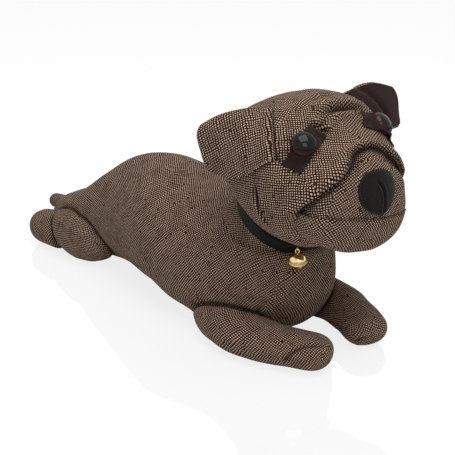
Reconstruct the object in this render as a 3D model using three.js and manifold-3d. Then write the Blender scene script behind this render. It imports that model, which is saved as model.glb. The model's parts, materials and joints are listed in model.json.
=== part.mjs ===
// Weighted fabric door stop in the form of a lying dog, in millimetres, +Z up, nose towards +X.
// The origin is on the floor, in the middle of the flat base panel that the weighted body rests on.
// The torso is a sewn cover with a base panel, wadding and a ballast bag inside. Head, muzzle, chin,
// legs, feet and tail are stuffed bags of their own, sewn on. The ears are two-ply flaps. A jingle
// bell with a loose ball hangs from a wire loop on the ribbon collar.
import * as THREE from "three";
import { LoftGeometry } from "three/addons/geometries/LoftGeometry.js";
import { mergeVertices } from "three/addons/utils/BufferGeometryUtils.js";
import Module from "manifold-3d";

const wasm = await Module();
wasm.setup();

// Gap between pieces that touch, and how deep pieces are let into each other before they are cut
const seam = 0.3;
const bite = 6;

// Torso
const torsoLength = 321;
const chestX = 149; // front of the chest
const humpHeight = 107;
const torsoWidth = 114;
const waistWidth = 74;
const coverWall = 2.2;
const basePanelThickness = 2;

// Ballast bag on the base panel
const ballastX = 28;
const ballastLength = 150;
const ballastWidth = 66;
const ballastHeight = 58;

// Neck: a stump that leans forward into the head and carries the collar
const neckX = 116.5;
const neckZ = 94.5;
const neckWidth = 75;
const neckDepth = 70;
const neckLean = 36; // degrees from upright

// Head, muzzle and chin
const headLength = 121;
const headWidth = 120;
const headHeight = 108;
const headX = 72; // back of the head
const headZ = 133; // middle height of the head
const muzzleLength = 56;
const muzzleWidth = 100;
const muzzleHeight = 49;
const muzzleX = 204; // front of the muzzle
const mouthZ = 111.5; // height of the seam between muzzle and chin
const mouthTilt = 9; // degrees that the seam drops towards the left side
const chinWidth = 102;
const chinHeight = 31;

// Nose, eyes, washers and the patches behind the eyes
const noseWidth = 36;
const noseHeight = 31;
const noseThickness = 1.6;
const eyeRadius = 9;
const eyeDome = 7.5;
const eyeSpread = 75; // between the middles of the eyes
const stemRadius = 2.2;
const stemLength = 11;
const washerRadius = 6;
const washerThickness = 1.5;
const patchLength = 35;
const patchWidth = 13;
const patchThickness = 1.2;
const patchShift = 2; // from under the middle of the eye, towards the middle of the face

// Ears
const earLength = 52;
const earDepth = 30;
const earThickness = 2;
const liningThickness = 1.4;

// Limbs
const legReach = 190; // x of the tip of the right front leg's middle line
const legSpread = 50; // furthest that its middle line lies from the middle of the body
const frontLegRadius = 19;
const legFlatness = 0.76; // height of a front leg as a share of its width
const thighLength = 84;
const thighWidth = 42;
const thighHeight = 47;
const footRadius = 16;
const footLength = 48;
const hipShare = 0.22; // sideways place of the thighs, as a share of the torso's width
const tailRadius = 6.5;
const tailLength = 34;

// Collar, bell and their loops
const collarWidth = 9.5;
const collarThickness = 1.6;
const bellRadius = 6.5;
const bellWall = 0.8;
const bellSlot = 1.6;
const ballRadius = 2.2;
const wireRadius = 0.4;
const loopRadius = 1.4; // middle of the wire
const bellSide = 29; // degrees round the neck from its front, towards the right side

// Smoothness of the forms
const ringPoints = 24;
const torsoRing = 28;
const torsoSteps = 30;

const degrees = Math.PI / 180;
const up = new THREE.Vector3(0, 0, 1);

// A closed mesh as a manifold-3d solid, swelled along its normals by a distance.
function solidOf(geometry, grow = 0) {
  const bare = geometry.index ? geometry.toNonIndexed() : geometry.clone();
  bare.deleteAttribute("normal");
  bare.deleteAttribute("uv");
  const merged = mergeVertices(bare, 1e-3);
  merged.computeVertexNormals();
  const { position, normal } = merged.attributes;
  for (let i = 0; i < position.count; i++) {
    const point = new THREE.Vector3().fromBufferAttribute(position, i);
    point.addScaledVector(new THREE.Vector3().fromBufferAttribute(normal, i), grow);
    position.setXYZ(i, point.x, point.y, point.z);
  }
  return new wasm.Manifold(
    new wasm.Mesh({
      numProp: 3,
      vertProperties: position.array,
      triVerts: new Uint32Array(merged.index.array),
    }),
  );
}

// A manifold-3d solid as a named three.js mesh.
function meshOf(name, solid, material) {
  const { vertProperties, triVerts } = solid.getMesh();
  const geometry = new THREE.BufferGeometry();
  geometry.setAttribute("position", new THREE.BufferAttribute(new Float32Array(vertProperties), 3));
  geometry.setIndex(new THREE.BufferAttribute(new Uint32Array(triVerts), 1));
  geometry.computeVertexNormals();
  const mesh = new THREE.Mesh(geometry, new THREE.MeshStandardMaterial(material));
  mesh.name = name;
  return mesh;
}

// The value of a smooth curve through a list of numbers, at a place from 0 to length - 1.
function through(values, place) {
  const i = Math.min(Math.floor(place), values.length - 2);
  const t = place - i;
  const at = (k) => values[THREE.MathUtils.clamp(k, 0, values.length - 1)];
  const slopeStart = (at(i + 1) - at(i - 1)) / 2;
  const slopeEnd = (at(i + 2) - at(i)) / 2;
  const rise = at(i + 1) - at(i);
  const square = 3 * rise - 2 * slopeStart - slopeEnd;
  const cube = slopeStart + slopeEnd - 2 * rise;
  return at(i) + slopeStart * t + square * t * t + cube * t ** 3;
}

// A ring of points about a centre, between two axes. Squareness 2 is an ellipse, more is boxier.
function ring(centre, sideAxis, upAxis, squareness, points) {
  return Array.from({ length: points }, (_, j) => {
    const angle = (j / points) * 2 * Math.PI;
    const s = Math.sin(angle);
    const c = Math.cos(angle);
    const reach = (Math.abs(s) ** squareness + Math.abs(c) ** squareness) ** (-1 / squareness);
    return centre.clone().addScaledVector(sideAxis, c * reach).addScaledVector(upAxis, s * reach);
  });
}

function loft(sections, grow) {
  return solidOf(new LoftGeometry(sections, { capStart: true, capEnd: true }), grow);
}

// The measures of a bag at a place along its stations [x, half width, bottom, top, squareness].
function bagAt(stations, place) {
  const [x, half, low, high, squareness] = stations[0].map((_, k) => through(stations.map((s) => s[k]), place));
  return { x, half: Math.max(half, 0.5), middle: (low + high) / 2, rise: Math.max((high - low) / 2, 0.5), squareness };
}

// A stuffed bag through its stations, whose sections stand across X, then moved by a matrix.
function bag(stations, steps, points, grow = 0, matrix = new THREE.Matrix4()) {
  const sections = Array.from({ length: steps + 1 }, (_, i) => {
    const { x, half, middle, rise, squareness } = bagAt(stations, (i / steps) * (stations.length - 1));
    const centre = new THREE.Vector3(x, 0, middle);
    return ring(centre, new THREE.Vector3(0, half, 0), new THREE.Vector3(0, 0, rise), squareness, points);
  });
  return loft(sections.map((section) => section.map((point) => point.applyMatrix4(matrix))), grow);
}

// The point on top of a bag at an x and a y.
function onBag(stations, x, y) {
  let [low, high] = [0, stations.length - 1];
  while (high - low > 1e-6) {
    const place = (low + high) / 2;
    if (bagAt(stations, place).x < x) low = place;
    else high = place;
  }
  const { half, middle, rise, squareness } = bagAt(stations, low);
  const share = Math.min(Math.abs(y) / half, 0.95);
  return new THREE.Vector3(x, y, middle + rise * (1 - share ** squareness) ** (1 / squareness));
}

// A stuffed tube with round ends along a line of [x, y, z, radius], pressed flatter than wide.
function limb(line, flatness, steps, points, grow = 0) {
  const centreAt = (place) => new THREE.Vector3(...[0, 1, 2].map((k) => through(line.map((p) => p[k]), place)));
  const last = line.length - 1;
  const places = Array.from({ length: steps + 1 }, (_, i) => ((1 - Math.cos((i / steps) * Math.PI)) / 2) * last);
  const length = centreAt(0).distanceTo(centreAt(last));
  const sections = places.map((place) => {
    const radius = through(line.map((p) => p[3]), place);
    const fromEnd = (Math.min(place, last - place) / last) * length;
    const round = Math.sqrt(1 - Math.max(0, 1 - fromEnd / radius) ** 2);
    const ahead = centreAt(Math.min(place + 0.01, last)).sub(centreAt(Math.max(place - 0.01, 0))).normalize();
    const sideAxis = new THREE.Vector3().crossVectors(up, ahead).normalize();
    const upAxis = new THREE.Vector3().crossVectors(ahead, sideAxis);
    const reach = radius * Math.max(round, 0.12);
    return ring(centreAt(place), sideAxis.multiplyScalar(reach), upAxis.multiplyScalar(reach * flatness), 2.1, points);
  });
  return loft(sections, grow);
}

// The largest body of a solid, without the scraps that a cut leaves.
function mainBody(solid) {
  const bodies = solid.decompose();
  return bodies.sort((one, other) => other.volume() - one.volume())[0];
}

// A sheet of cloth: a surface of two shares from 0 to 1, thickened between two heights over it.
function sheet(surface, across, along, low, high) {
  const step = 1e-3;
  const pointAt = (u, v, offset) => {
    const du = surface(Math.min(u + step, 1), v).sub(surface(Math.max(u - step, 0), v));
    const dv = surface(u, Math.min(v + step, 1)).sub(surface(u, Math.max(v - step, 0)));
    return surface(u, v).addScaledVector(du.cross(dv).normalize(), offset);
  };
  const row = along + 1;
  const side = (across + 1) * row;
  const points = [];
  for (const offset of [low, high]) {
    for (let k = 0; k < side; k++) points.push(pointAt(Math.floor(k / row) / across, (k % row) / along, offset));
  }
  const faces = [];
  const quad = (a, b, c, d) => faces.push(a, b, c, a, c, d);
  for (let i = 0; i < across; i++) {
    for (let j = 0; j < along; j++) {
      const [a, b, c, d] = [i * row + j, (i + 1) * row + j, (i + 1) * row + j + 1, i * row + j + 1];
      quad(d, c, b, a);
      quad(side + a, side + b, side + c, side + d);
    }
  }
  const edge = (a, b) => quad(a, b, side + b, side + a);
  for (let i = 0; i < across; i++) {
    edge(i * row, (i + 1) * row);
    edge((i + 1) * row + along, i * row + along);
  }
  for (let j = 0; j < along; j++) {
    edge(across * row + j, across * row + j + 1);
    edge(j + 1, j);
  }
  return solidOf(new THREE.BufferGeometry().setFromPoints(points).setIndex(faces));
}

// A box from a lowest to a highest corner.
function block(low, high) {
  const size = high.map((value, k) => value - low[k]);
  const geometry = new THREE.BoxGeometry(...size);
  return solidOf(geometry.translate(...low.map((value, k) => value + size[k] / 2)));
}

// A form turned about +Z from a profile of [radius, height], from its bottom up.
function turned(profile, segments, matrix = new THREE.Matrix4()) {
  const geometry = new THREE.LatheGeometry(profile.map(([r, h]) => new THREE.Vector2(r, h)), segments);
  return solidOf(geometry.rotateX(Math.PI / 2).applyMatrix4(matrix));
}

// The matrix that stands a form made about +Z on a point, along a direction.
function standing(point, direction) {
  const turn = new THREE.Quaternion().setFromUnitVectors(up, direction.clone().normalize());
  return new THREE.Matrix4().compose(point, turn, new THREE.Vector3(1, 1, 1));
}

const everywhere = 500;
function slab(low, high) {
  return block([-everywhere, -everywhere, low], [everywhere, everywhere, high]);
}
const underFloor = slab(-everywhere, 0);
const underCover = slab(-everywhere, basePanelThickness + seam);
const underFilling = slab(-everywhere, basePanelThickness + 2 * seam);

// Torso stations from the rump to the chest: share of the length, half width, bottom and top as
// shares of the hump's height, squareness. The belly sinks a little below the floor and is cut off.
const torsoStations = [
  [0, 0.12 * waistWidth, 0.2, 0.3, 2],
  [0.02, 0.24 * waistWidth, 0.12, 0.36, 2],
  [0.07, 0.36 * waistWidth, 0.05, 0.43, 2],
  [0.15, 0.43 * waistWidth, 0.03, 0.53, 2.1],
  [0.25, 0.46 * waistWidth, 0.02, 0.74, 2.1],
  [0.34, 0.49 * waistWidth, 0.02, 0.9, 2],
  [0.43, 0.37 * torsoWidth, 0.01, 0.99, 2],
  [0.52, 0.44 * torsoWidth, -0.014, 0.99, 2.05],
  [0.61, 0.48 * torsoWidth, -0.04, 0.91, 2.15],
  [0.7, 0.5 * torsoWidth, -0.065, 0.86, 2.2],
  [0.79, 0.49 * torsoWidth, -0.06, 0.84, 2.2],
  [0.87, 0.45 * torsoWidth, -0.02, 0.81, 2.2],
  [0.94, 0.35 * torsoWidth, 0.08, 0.74, 2.1],
  [0.985, 0.2 * torsoWidth, 0.24, 0.65, 2],
  [1, 0.07 * torsoWidth, 0.38, 0.5, 2],
].map(([share, half, low, high, squareness]) => [
  chestX + (share - 1) * torsoLength,
  half,
  low * humpHeight,
  high * humpHeight,
  squareness,
]);

// The neck about its own axis, from inside the torso up into the head
const acrossY = new THREE.Vector3(0, 1, 0);
const neckAxis = up.clone().applyAxisAngle(acrossY, neckLean * degrees);
const neckFront = new THREE.Vector3(1, 0, 0).applyAxisAngle(acrossY, neckLean * degrees);
const neckMiddle = new THREE.Vector3(neckX, 0, neckZ);
function neck(grow) {
  const sections = [[-38, 0.95], [-20, 1.1], [-collarWidth / 2, 1], [22 + grow, 1]].map(([height, flare]) => {
    const centre = neckMiddle.clone().addScaledVector(neckAxis, height);
    const deepAxis = neckFront.clone().multiplyScalar((neckDepth / 2) * flare + grow);
    return ring(centre, deepAxis, new THREE.Vector3(0, (neckWidth / 2) * flare + grow, 0), 2, ringPoints);
  });
  return loft(sections);
}

function torso(grow = 0) {
  return bag(torsoStations, torsoSteps, torsoRing, grow).add(neck(grow));
}
const torsoOutside = torso();
const torsoClear = torso(seam);

// The ballast bag: a flat cushion on the base panel, in the middle of the torso
function ballast(grow = 0) {
  const stations = [-1, -0.9, -0.55, 0, 0.55, 0.9, 1].map((share) => {
    const full = Math.sqrt(1 - Math.abs(share) ** 3) * 0.94 + 0.06;
    const middle = basePanelThickness + ballastHeight * 0.42;
    const half = (ballastHeight / 2) * full;
    const x = ballastX + (share * ballastLength) / 2;
    return [x, (ballastWidth / 2) * full, middle - half, middle + half, 2.5];
  });
  return bag(stations, 12, 16, grow);
}

// Head stations from the back of the head to the face, as shares of the head's sizes
const headStations = [
  [0, 0.14, 0, 0.14, 2],
  [0.04, 0.42, -0.08, 0.24, 2],
  [0.14, 0.7, -0.16, 0.33, 2.1],
  [0.3, 0.92, -0.33, 0.44, 2.2],
  [0.48, 1, -0.45, 0.49, 2.3],
  [0.65, 0.99, -0.48, 0.475, 2.4],
  [0.8, 0.92, -0.45, 0.33, 2.25],
  [0.92, 0.76, -0.2, 0.225, 2.15],
  [0.98, 0.55, -0.03, 0.18, 2.1],
  [1, 0.36, 0.04, 0.14, 2],
].map(([share, width, low, high, squareness]) => [
  headX + share * headLength,
  (width * headWidth) / 2,
  headZ + low * headHeight,
  headZ + high * headHeight,
  squareness,
]);
const headForm = (grow = 0) => bag(headStations, 22, torsoRing, grow);

// Muzzle and chin: the upper and the lower half of one egg, parted at the mouth seam. The seam
// runs a little lower on the dog's left side.
const mouthTurn = new THREE.Matrix4()
  .makeTranslation(0, 0, mouthZ)
  .multiply(new THREE.Matrix4().makeRotationX(-mouthTilt * degrees))
  .multiply(new THREE.Matrix4().makeTranslation(0, 0, -mouthZ));
function mouthSlab(low, high) {
  const geometry = new THREE.BoxGeometry(everywhere, everywhere, high - low);
  geometry.translate(everywhere / 2, 0, (low + high) / 2);
  return solidOf(geometry.applyMatrix4(mouthTurn));
}
const snoutShares = [
  [0, 0.86, 0.68],
  [0.25, 0.98, 0.78],
  [0.5, 1, 0.86],
  [0.7, 0.92, 0.91],
  [0.83, 0.78, 0.83],
  [0.93, 0.54, 0.55],
  [1, 0.18, 0.14],
];
function snoutForm(width, height, squareness, grow) {
  const stations = snoutShares.map(([share, wide, tall]) => [
    muzzleX + (share - 1) * muzzleLength,
    (wide * width) / 2,
    mouthZ - tall * height,
    mouthZ + tall * height,
    squareness,
  ]);
  return bag(stations, 14, ringPoints, grow, mouthTurn);
}
const muzzleForm = (grow = 0) => snoutForm(muzzleWidth, muzzleHeight, 1.75, grow);
const chinForm = (grow = 0) => snoutForm(chinWidth, chinHeight, 2.2, grow);

// The frame on the head under an eye: its matrix stands +Z out of the head and +X up the patch
function eyeFrame(side) {
  const spot = (x, y) => onBag(headStations, x, y);
  const x = headX + 0.787 * headLength;
  const y = (side * eyeSpread) / 2;
  const middle = spot(x, y);
  const alongX = spot(x + 0.5, y).sub(spot(x - 0.5, y));
  const alongY = spot(x, y + 0.5).sub(spot(x, y - 0.5));
  const out = alongX.cross(alongY).normalize();
  const climb = new THREE.Vector3(0.15, -side * 0.6, 0.8);
  const across = new THREE.Vector3().crossVectors(out, climb).normalize();
  const along = new THREE.Vector3().crossVectors(across, out);
  return new THREE.Matrix4().makeBasis(along, across, out).setPosition(middle);
}

// A patch of cloth behind an eye: the outline of a slanted strip cut from the head's outer layer
function eyePatch(side, frame) {
  const [l, w, shift] = [patchLength / 2, patchWidth / 2, side * patchShift];
  const corners = [[-l, shift - w], [l, shift - w], [l, shift + w], [-l, shift + w]];
  const outline = new THREE.Shape(corners.map(([x, y]) => new THREE.Vector2(x, y)));
  const cutter = new THREE.ExtrudeGeometry(outline, { depth: 30, bevelEnabled: false }).translate(0, 0, -18);
  return headForm(seam + patchThickness)
    .subtract(headForm(seam))
    .intersect(solidOf(cutter.applyMatrix4(frame)))
    .subtract(stemHole(frame));
}

// The seat of an eye with the hole for its stem, and the pocket behind the cloth for its washer
const eyeBase = patchThickness + 2 * seam;
const clothDepth = 3;
function stemHole(frame) {
  const [r, wide] = [stemRadius + seam, eyeRadius + seam];
  const [low, base] = [-stemLength, eyeBase - seam];
  return turned([[0, low], [r, low], [r, base], [wide, base], [wide, eyeDome], [0, eyeDome]], 16, frame);
}
function stemPocket(frame) {
  const r = washerRadius + seam;
  const [low, high] = [-stemLength - 1, -clothDepth];
  return turned([[0, low], [r, low], [r, high], [0, high]], 18, frame).add(stemHole(frame));
}

// A glossy dome with a stem behind it
function eye(frame) {
  const dome = Array.from({ length: 7 }, (_, i) => {
    const angle = (i / 6) * (Math.PI / 2);
    return [eyeRadius * Math.cos(angle), eyeBase + 1 + (eyeDome - 1) * Math.sin(angle)];
  });
  dome[6][0] = 0;
  const stem = [[0, -stemLength + seam], [stemRadius, -stemLength + seam], [stemRadius, eyeBase], [eyeRadius, eyeBase]];
  return turned([...stem, ...dome], 24, frame);
}

function washer(frame) {
  const [low, high] = [-clothDepth - seam - washerThickness, -clothDepth - seam];
  const [r, hole] = [washerRadius, stemRadius + seam];
  return turned([[hole, low], [r, low], [r, high], [hole, high], [hole, low]], 18, frame);
}

// The nose: an oval with a pointed bottom, cut from a layer over the muzzle
function nose() {
  const [w, h] = [noseWidth / 2, noseHeight / 2];
  const outline = new THREE.Shape();
  outline.moveTo(0, -h);
  outline.bezierCurveTo(w * 0.7, -h * 0.75, w, -h * 0.35, w, h * 0.15);
  outline.bezierCurveTo(w, h * 0.75, w * 0.55, h, 0, h);
  outline.bezierCurveTo(-w * 0.55, h, -w, h * 0.75, -w, h * 0.15);
  outline.bezierCurveTo(-w, -h * 0.35, -w * 0.7, -h * 0.75, 0, -h);
  const cutter = new THREE.ExtrudeGeometry(outline, { depth: 60, curveSegments: 5, bevelEnabled: false });
  cutter.rotateZ(Math.PI / 2).rotateY(Math.PI / 2).translate(muzzleX - muzzleLength / 2, 0, mouthZ + 2 + h);
  const layer = muzzleForm(seam + noseThickness).subtract(muzzleForm(seam));
  return layer.intersect(solidOf(cutter)).subtract(headForm(2 * seam));
}

// An ear flap from its root line on the head to its free end. u runs out, v runs down.
const ears = {
  // the right ear droops back and shows its tweed side
  right: { side: -1, reach: [-0.58, -0.78, -0.22], fall: [0.38, 0.06, -0.92], belly: 4, crown: 5, sag: 8 },
  // the left ear stands out to the side and shows its lining to the front
  left: { side: 1, reach: [0.13, 0.98, -0.03], fall: [0.3, -0.1, -0.95], belly: 3, crown: 6, sag: 0 },
};
const rootShare = 0.15;
function earSurface({ side, reach, fall, belly, crown, sag }) {
  const root = (v) => {
    const x = headX + (0.5 + 0.19 * v) * headLength;
    return onBag(headStations, x, (side * (0.6 + 0.35 * v) * headWidth) / 2);
  };
  const endTop = root(0).addScaledVector(new THREE.Vector3(...reach).normalize(), earLength);
  const endBottom = endTop.clone().addScaledVector(new THREE.Vector3(...fall).normalize(), earDepth);
  const normal = new THREE.Vector3().crossVectors(endTop.clone().sub(root(0)), root(1).sub(root(0))).normalize();
  return (u, v) => {
    const out = Math.max(0, (u - rootShare) / (1 - rootShare));
    const inward = new THREE.Vector3(0, 0, headZ).sub(root(v)).setX(0).normalize();
    const point = root(v).addScaledVector(inward, (2 * bite * Math.max(0, rootShare - u)) / rootShare);
    const rounding = 1 - 0.1 * Math.abs(2 * v - 1) ** 5 * out;
    point.lerp(endTop.clone().lerp(endBottom, v), out * rounding);
    const arch = Math.sin(Math.PI * Math.min(1, out * 0.95));
    point.z += arch * (crown * (1 - v) ** 2 - sag * v ** 2);
    return point.addScaledVector(normal, -belly * side * arch * Math.sin(Math.PI * v));
  };
}
const earPly = (word, low, high) => mainBody(sheet(earSurface(ears[word]), 9, 7, low, high).subtract(headForm(seam)));

// The front legs from under the chest to the paws, as shares of the reach and of the spread. The
// right one lies further out.
const legPaths = {
  right: [[0.37, -0.68], [0.53, -0.9], [0.68, -1], [0.84, -0.8], [1, -0.52]],
  left: [[0.37, 0.56], [0.53, 0.74], [0.68, 0.82], [0.84, 0.62], [0.984, 0.34]],
};
const legShares = [1, 1.12, 1.06, 0.98, 0.95];
function frontLeg(word) {
  const line = legPaths[word].map(([x, y], k) => {
    const radius = legShares[k] * frontLegRadius;
    return [x * legReach, y * legSpread, legFlatness * radius - 1, radius];
  });
  return limb(line, legFlatness, 14, 18);
}

// The hind legs and the tail lie round the rear end of the torso
const rump = chestX - torsoLength;
const hip = hipShare * torsoWidth;
const thigh = (side, grow = 0) => {
  const stations = [-1, -0.92, -0.6, 0, 0.6, 0.92, 1].map((share) => {
    const full = Math.sqrt(1 - share ** 2) * 0.94 + 0.06;
    const middle = thighHeight / 2 - 2;
    const half = (thighHeight / 2) * full;
    const x = rump + 0.2 * torsoLength + (share * thighLength) / 2;
    return [x, (thighWidth / 2) * full, middle - half, middle + half, 2.1];
  });
  return bag(stations, 12, 18, grow, new THREE.Matrix4().makeTranslation(0, side * hip, 0));
};
const foot = (side, grow = 0) =>
  limb(
    [
      [rump - 3 + footLength, side * 1.08 * hip, footRadius + 1, footRadius * 1.15],
      [rump - 3 + footLength / 2, side * 1.16 * hip, footRadius, footRadius * 1.05],
      [rump - 3, side * 1.2 * hip, footRadius - 1, footRadius * 0.95],
    ],
    0.98,
    10,
    16,
    grow,
  );
const tail = () =>
  limb(
    [
      [rump - 20 + tailLength, 0, 0.28 * humpHeight, tailRadius],
      [rump - 20, 0, 0.24 * humpHeight, tailRadius],
    ],
    1,
    8,
    12,
  );

// The collar: a ribbon round the neck
const neckTurn = new THREE.Matrix4().makeRotationY(neckLean * degrees);
function collarSpace(grow) {
  const width = collarWidth + 2 * grow;
  const band = new THREE.BoxGeometry(4 * neckDepth, 4 * neckWidth, width).applyMatrix4(neckTurn);
  return neck(seam + collarThickness + grow).intersect(solidOf(band.translate(...neckMiddle)));
}
const collar = () => collarSpace(0).subtract(torsoClear);

// Where the bell hangs: a point on the neck, the way out from it, and the level line across it
const bellTurn = bellSide * degrees;
const bellOut = neckFront
  .clone()
  .multiplyScalar(Math.cos(bellTurn) / neckDepth)
  .addScaledVector(acrossY, -Math.sin(bellTurn) / neckWidth)
  .normalize();
const bellForward = bellOut.clone().setZ(0).normalize();
const bellAcross = new THREE.Vector3().crossVectors(up, bellForward);
const loopOutside = loopRadius + wireRadius;
const pivot = neckMiddle
  .clone()
  .addScaledVector(neckFront, (neckDepth / 2) * Math.cos(bellTurn))
  .addScaledVector(acrossY, -(neckWidth / 2) * Math.sin(bellTurn))
  .addScaledVector(neckAxis, collarWidth / 2)
  .addScaledVector(bellOut, 2 * seam + collarThickness + loopOutside);

// A wire loop about an axis through a point
function wireLoop(point, axis) {
  return solidOf(new THREE.TorusGeometry(loopRadius, wireRadius, 8, 20).applyMatrix4(standing(point, axis)));
}

// The bell leans out from straight down until it clears the chest. Down the bell is +Z in its frame.
const bellDrop = loopOutside + seam + 0.6 + bellRadius;
const ballOf = (radius, point) => {
  const profile = Array.from({ length: 9 }, (_, i) => {
    const angle = (i / 8 - 0.5) * Math.PI;
    return [i % 8 ? radius * Math.cos(angle) : 0, radius * Math.sin(angle)];
  });
  return turned(profile, 20, new THREE.Matrix4().setPosition(point));
};
const downAt = (lean) => bellForward.clone().multiplyScalar(Math.sin(lean)).addScaledVector(up, -Math.cos(lean));
const chestAndCollar = torsoOutside.add(collarSpace(0));
let bellLean = 0;
while (bellLean < 80 && touches(bellLean)) bellLean += 2;
function touches(lean) {
  const middle = pivot.clone().addScaledVector(downAt(lean * degrees), bellDrop);
  return ballOf(bellRadius + 2 * seam, middle).intersect(chestAndCollar).volume() > 0;
}
const bellDown = downAt(bellLean * degrees);
const bellMiddle = pivot.clone().addScaledVector(bellDown, bellDrop);
const bellFrame = new THREE.Matrix4()
  .makeBasis(new THREE.Vector3().crossVectors(bellAcross, bellDown), bellAcross, bellDown)
  .setPosition(bellMiddle);

// A half of the bell's shell between two heights in its frame, with a rim at the parting
function bellShell(from, to) {
  const outside = turned(sphereProfile(bellRadius, 0.5), 24, bellFrame);
  const inside = turned(sphereProfile(bellRadius - bellWall, 0), 24, bellFrame);
  const size = 2 * bellRadius + 2;
  const half = new THREE.BoxGeometry(size, size, to - from).translate(0, 0, (from + to) / 2);
  return outside.subtract(inside).intersect(solidOf(half.applyMatrix4(bellFrame)));
}
function sphereProfile(radius, rim) {
  return Array.from({ length: 17 }, (_, i) => {
    const angle = (i / 16 - 0.5) * Math.PI;
    const out = i % 16 ? radius * Math.cos(angle) + (Math.abs(i - 8) < 2 ? rim : 0) : 0;
    return [out, radius * Math.sin(angle)];
  });
}
function bellCap() {
  const loopMiddle = pivot.clone().addScaledVector(bellDown, loopRadius + loopRadius - 2 * wireRadius - seam);
  const across = new THREE.Vector3().crossVectors(bellAcross, bellDown);
  const loop = wireLoop(loopMiddle, across).subtract(ballOf(bellRadius - bellWall / 2, bellMiddle));
  return bellShell(-bellRadius - 1, -seam / 2).add(loop);
}
function bellCup() {
  const slot = new THREE.BoxGeometry(1.5 * bellRadius, bellSlot, bellRadius).translate(0, 0, bellRadius);
  return bellShell(seam / 2, bellRadius + 1).subtract(solidOf(slot.applyMatrix4(bellFrame)));
}
const bellBall = () => ballOf(ballRadius, bellMiddle.clone().addScaledVector(up, ballRadius + bellWall + seam - bellRadius));

// Colours and surfaces
const tweed = { color: 0x7a6656, roughness: 0.95, metalness: 0 };
const lining = { color: 0x2b1815, roughness: 0.85, metalness: 0 };
const felt = { color: 0x17130f, roughness: 0.95, metalness: 0 };
const glass = { color: 0x0d0807, roughness: 0.06, metalness: 0 };
const ribbon = { color: 0x10100f, roughness: 0.6, metalness: 0 };
const brass = { color: 0xd7ac5a, roughness: 0.25, metalness: 1 };
const whitePlastic = { color: 0xd8d6cf, roughness: 0.5, metalness: 0 };
const wadding = { color: 0xe9e6dd, roughness: 1, metalness: 0 };
const sandBag = { color: 0xb9a98a, roughness: 0.95, metalness: 0 };
const basePanelCloth = { color: 0x33261f, roughness: 0.95, metalness: 0 };

const dog = new THREE.Group();
dog.name = "fabric_dog_door_stop";
const add = (name, solid, material) => dog.add(meshOf(name, solid, material));

add("torso_cover", torsoOutside.subtract(underCover).subtract(torso(-coverWall)), tweed);
add("base_panel", torsoOutside.subtract(underFloor).intersect(slab(0, basePanelThickness)), basePanelCloth);
add("torso_filling", torso(-coverWall - seam).subtract(underFilling).subtract(ballast(seam)), wadding);
add("ballast_bag", ballast().subtract(underCover).intersect(torso(-coverWall - 3 * seam)), sandBag);

const eyeFrames = [eyeFrame(-1), eyeFrame(1)];
let head = headForm().subtract(torsoClear).subtract(collarSpace(seam));
for (const frame of eyeFrames) head = head.subtract(stemPocket(frame));
add("head", head, tweed);
add("muzzle", muzzleForm().subtract(headForm(seam)).intersect(mouthSlab(mouthZ + seam / 2, 2 * mouthZ)), tweed);
const chin = chinForm().intersect(mouthSlab(0, mouthZ - seam / 2)).subtract(headForm(seam));
add("chin", mainBody(chin.subtract(torsoClear).subtract(collarSpace(seam))), tweed);
add("nose", nose(), felt);

for (const [k, side] of [-1, 1].entries()) {
  const word = side < 0 ? "right" : "left";
  const frame = eyeFrames[k];
  add(`eye_${word}`, eye(frame), glass);
  add(`eye_washer_${word}`, washer(frame), whitePlastic);
  add(`eye_patch_${word}`, mainBody(eyePatch(side, frame).subtract(muzzleForm(seam))), lining);
  add(`front_leg_${word}`, mainBody(frontLeg(word).subtract(torsoClear).subtract(underFloor)), tweed);
  add(`thigh_${word}`, mainBody(thigh(side).subtract(torsoClear).subtract(underFloor)), tweed);
  const footSolid = foot(side).subtract(thigh(side, seam)).subtract(torsoClear).subtract(underFloor);
  add(`foot_${word}`, mainBody(footSolid), tweed);
}
// In front is the tweed ply of the right ear and the lining of the left one
add("ear_right", earPly("right", seam / 2, seam / 2 + earThickness), tweed);
add("ear_lining_right", earPly("right", -seam / 2 - liningThickness, -seam / 2), lining);
add("ear_left", earPly("left", seam / 2, seam / 2 + earThickness), tweed);
add("ear_lining_left", earPly("left", -seam / 2 - liningThickness, -seam / 2), lining);
add("tail", mainBody(tail().subtract(torsoClear)), tweed);

add("collar", collar(), ribbon);
add("collar_loop", wireLoop(pivot, bellAcross), brass);
add("bell_cap", bellCap(), brass);
add("bell_cup", bellCup(), brass);
add("bell_ball", bellBall(), brass);

export default dog;
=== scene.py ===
"""Dresses the lying tweed dog door stop: sewn and stuffed cloth, dome eyes, ribbon collar and bell."""
import json
import math
from functools import partial

import bpy
import numpy as np
from bpy.props import FloatProperty, FloatVectorProperty, IntProperty, PointerProperty
from bpy.types import Operator, Panel, PropertyGroup
from mathutils import Matrix, Vector, noise
from mathutils.bvhtree import BVHTree


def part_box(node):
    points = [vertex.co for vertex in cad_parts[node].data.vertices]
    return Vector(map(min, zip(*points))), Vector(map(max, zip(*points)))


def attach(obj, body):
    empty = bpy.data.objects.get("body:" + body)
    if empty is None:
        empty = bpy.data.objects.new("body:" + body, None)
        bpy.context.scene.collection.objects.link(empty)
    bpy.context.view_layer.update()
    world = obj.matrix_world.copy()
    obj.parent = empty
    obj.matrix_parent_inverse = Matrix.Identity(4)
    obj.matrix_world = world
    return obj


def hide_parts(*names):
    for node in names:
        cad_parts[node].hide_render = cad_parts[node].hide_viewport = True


bl_info = {
    "name": "Tweed dog door stop",
    "version": (1, 0, 0),
    "blender": (4, 5, 0),
    "location": "3D View > Sidebar > Door stop",
    "description": "Sewn cloth, eyes, collar and bell for a weighted dog door stop",
    "category": "Object",
}

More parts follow.
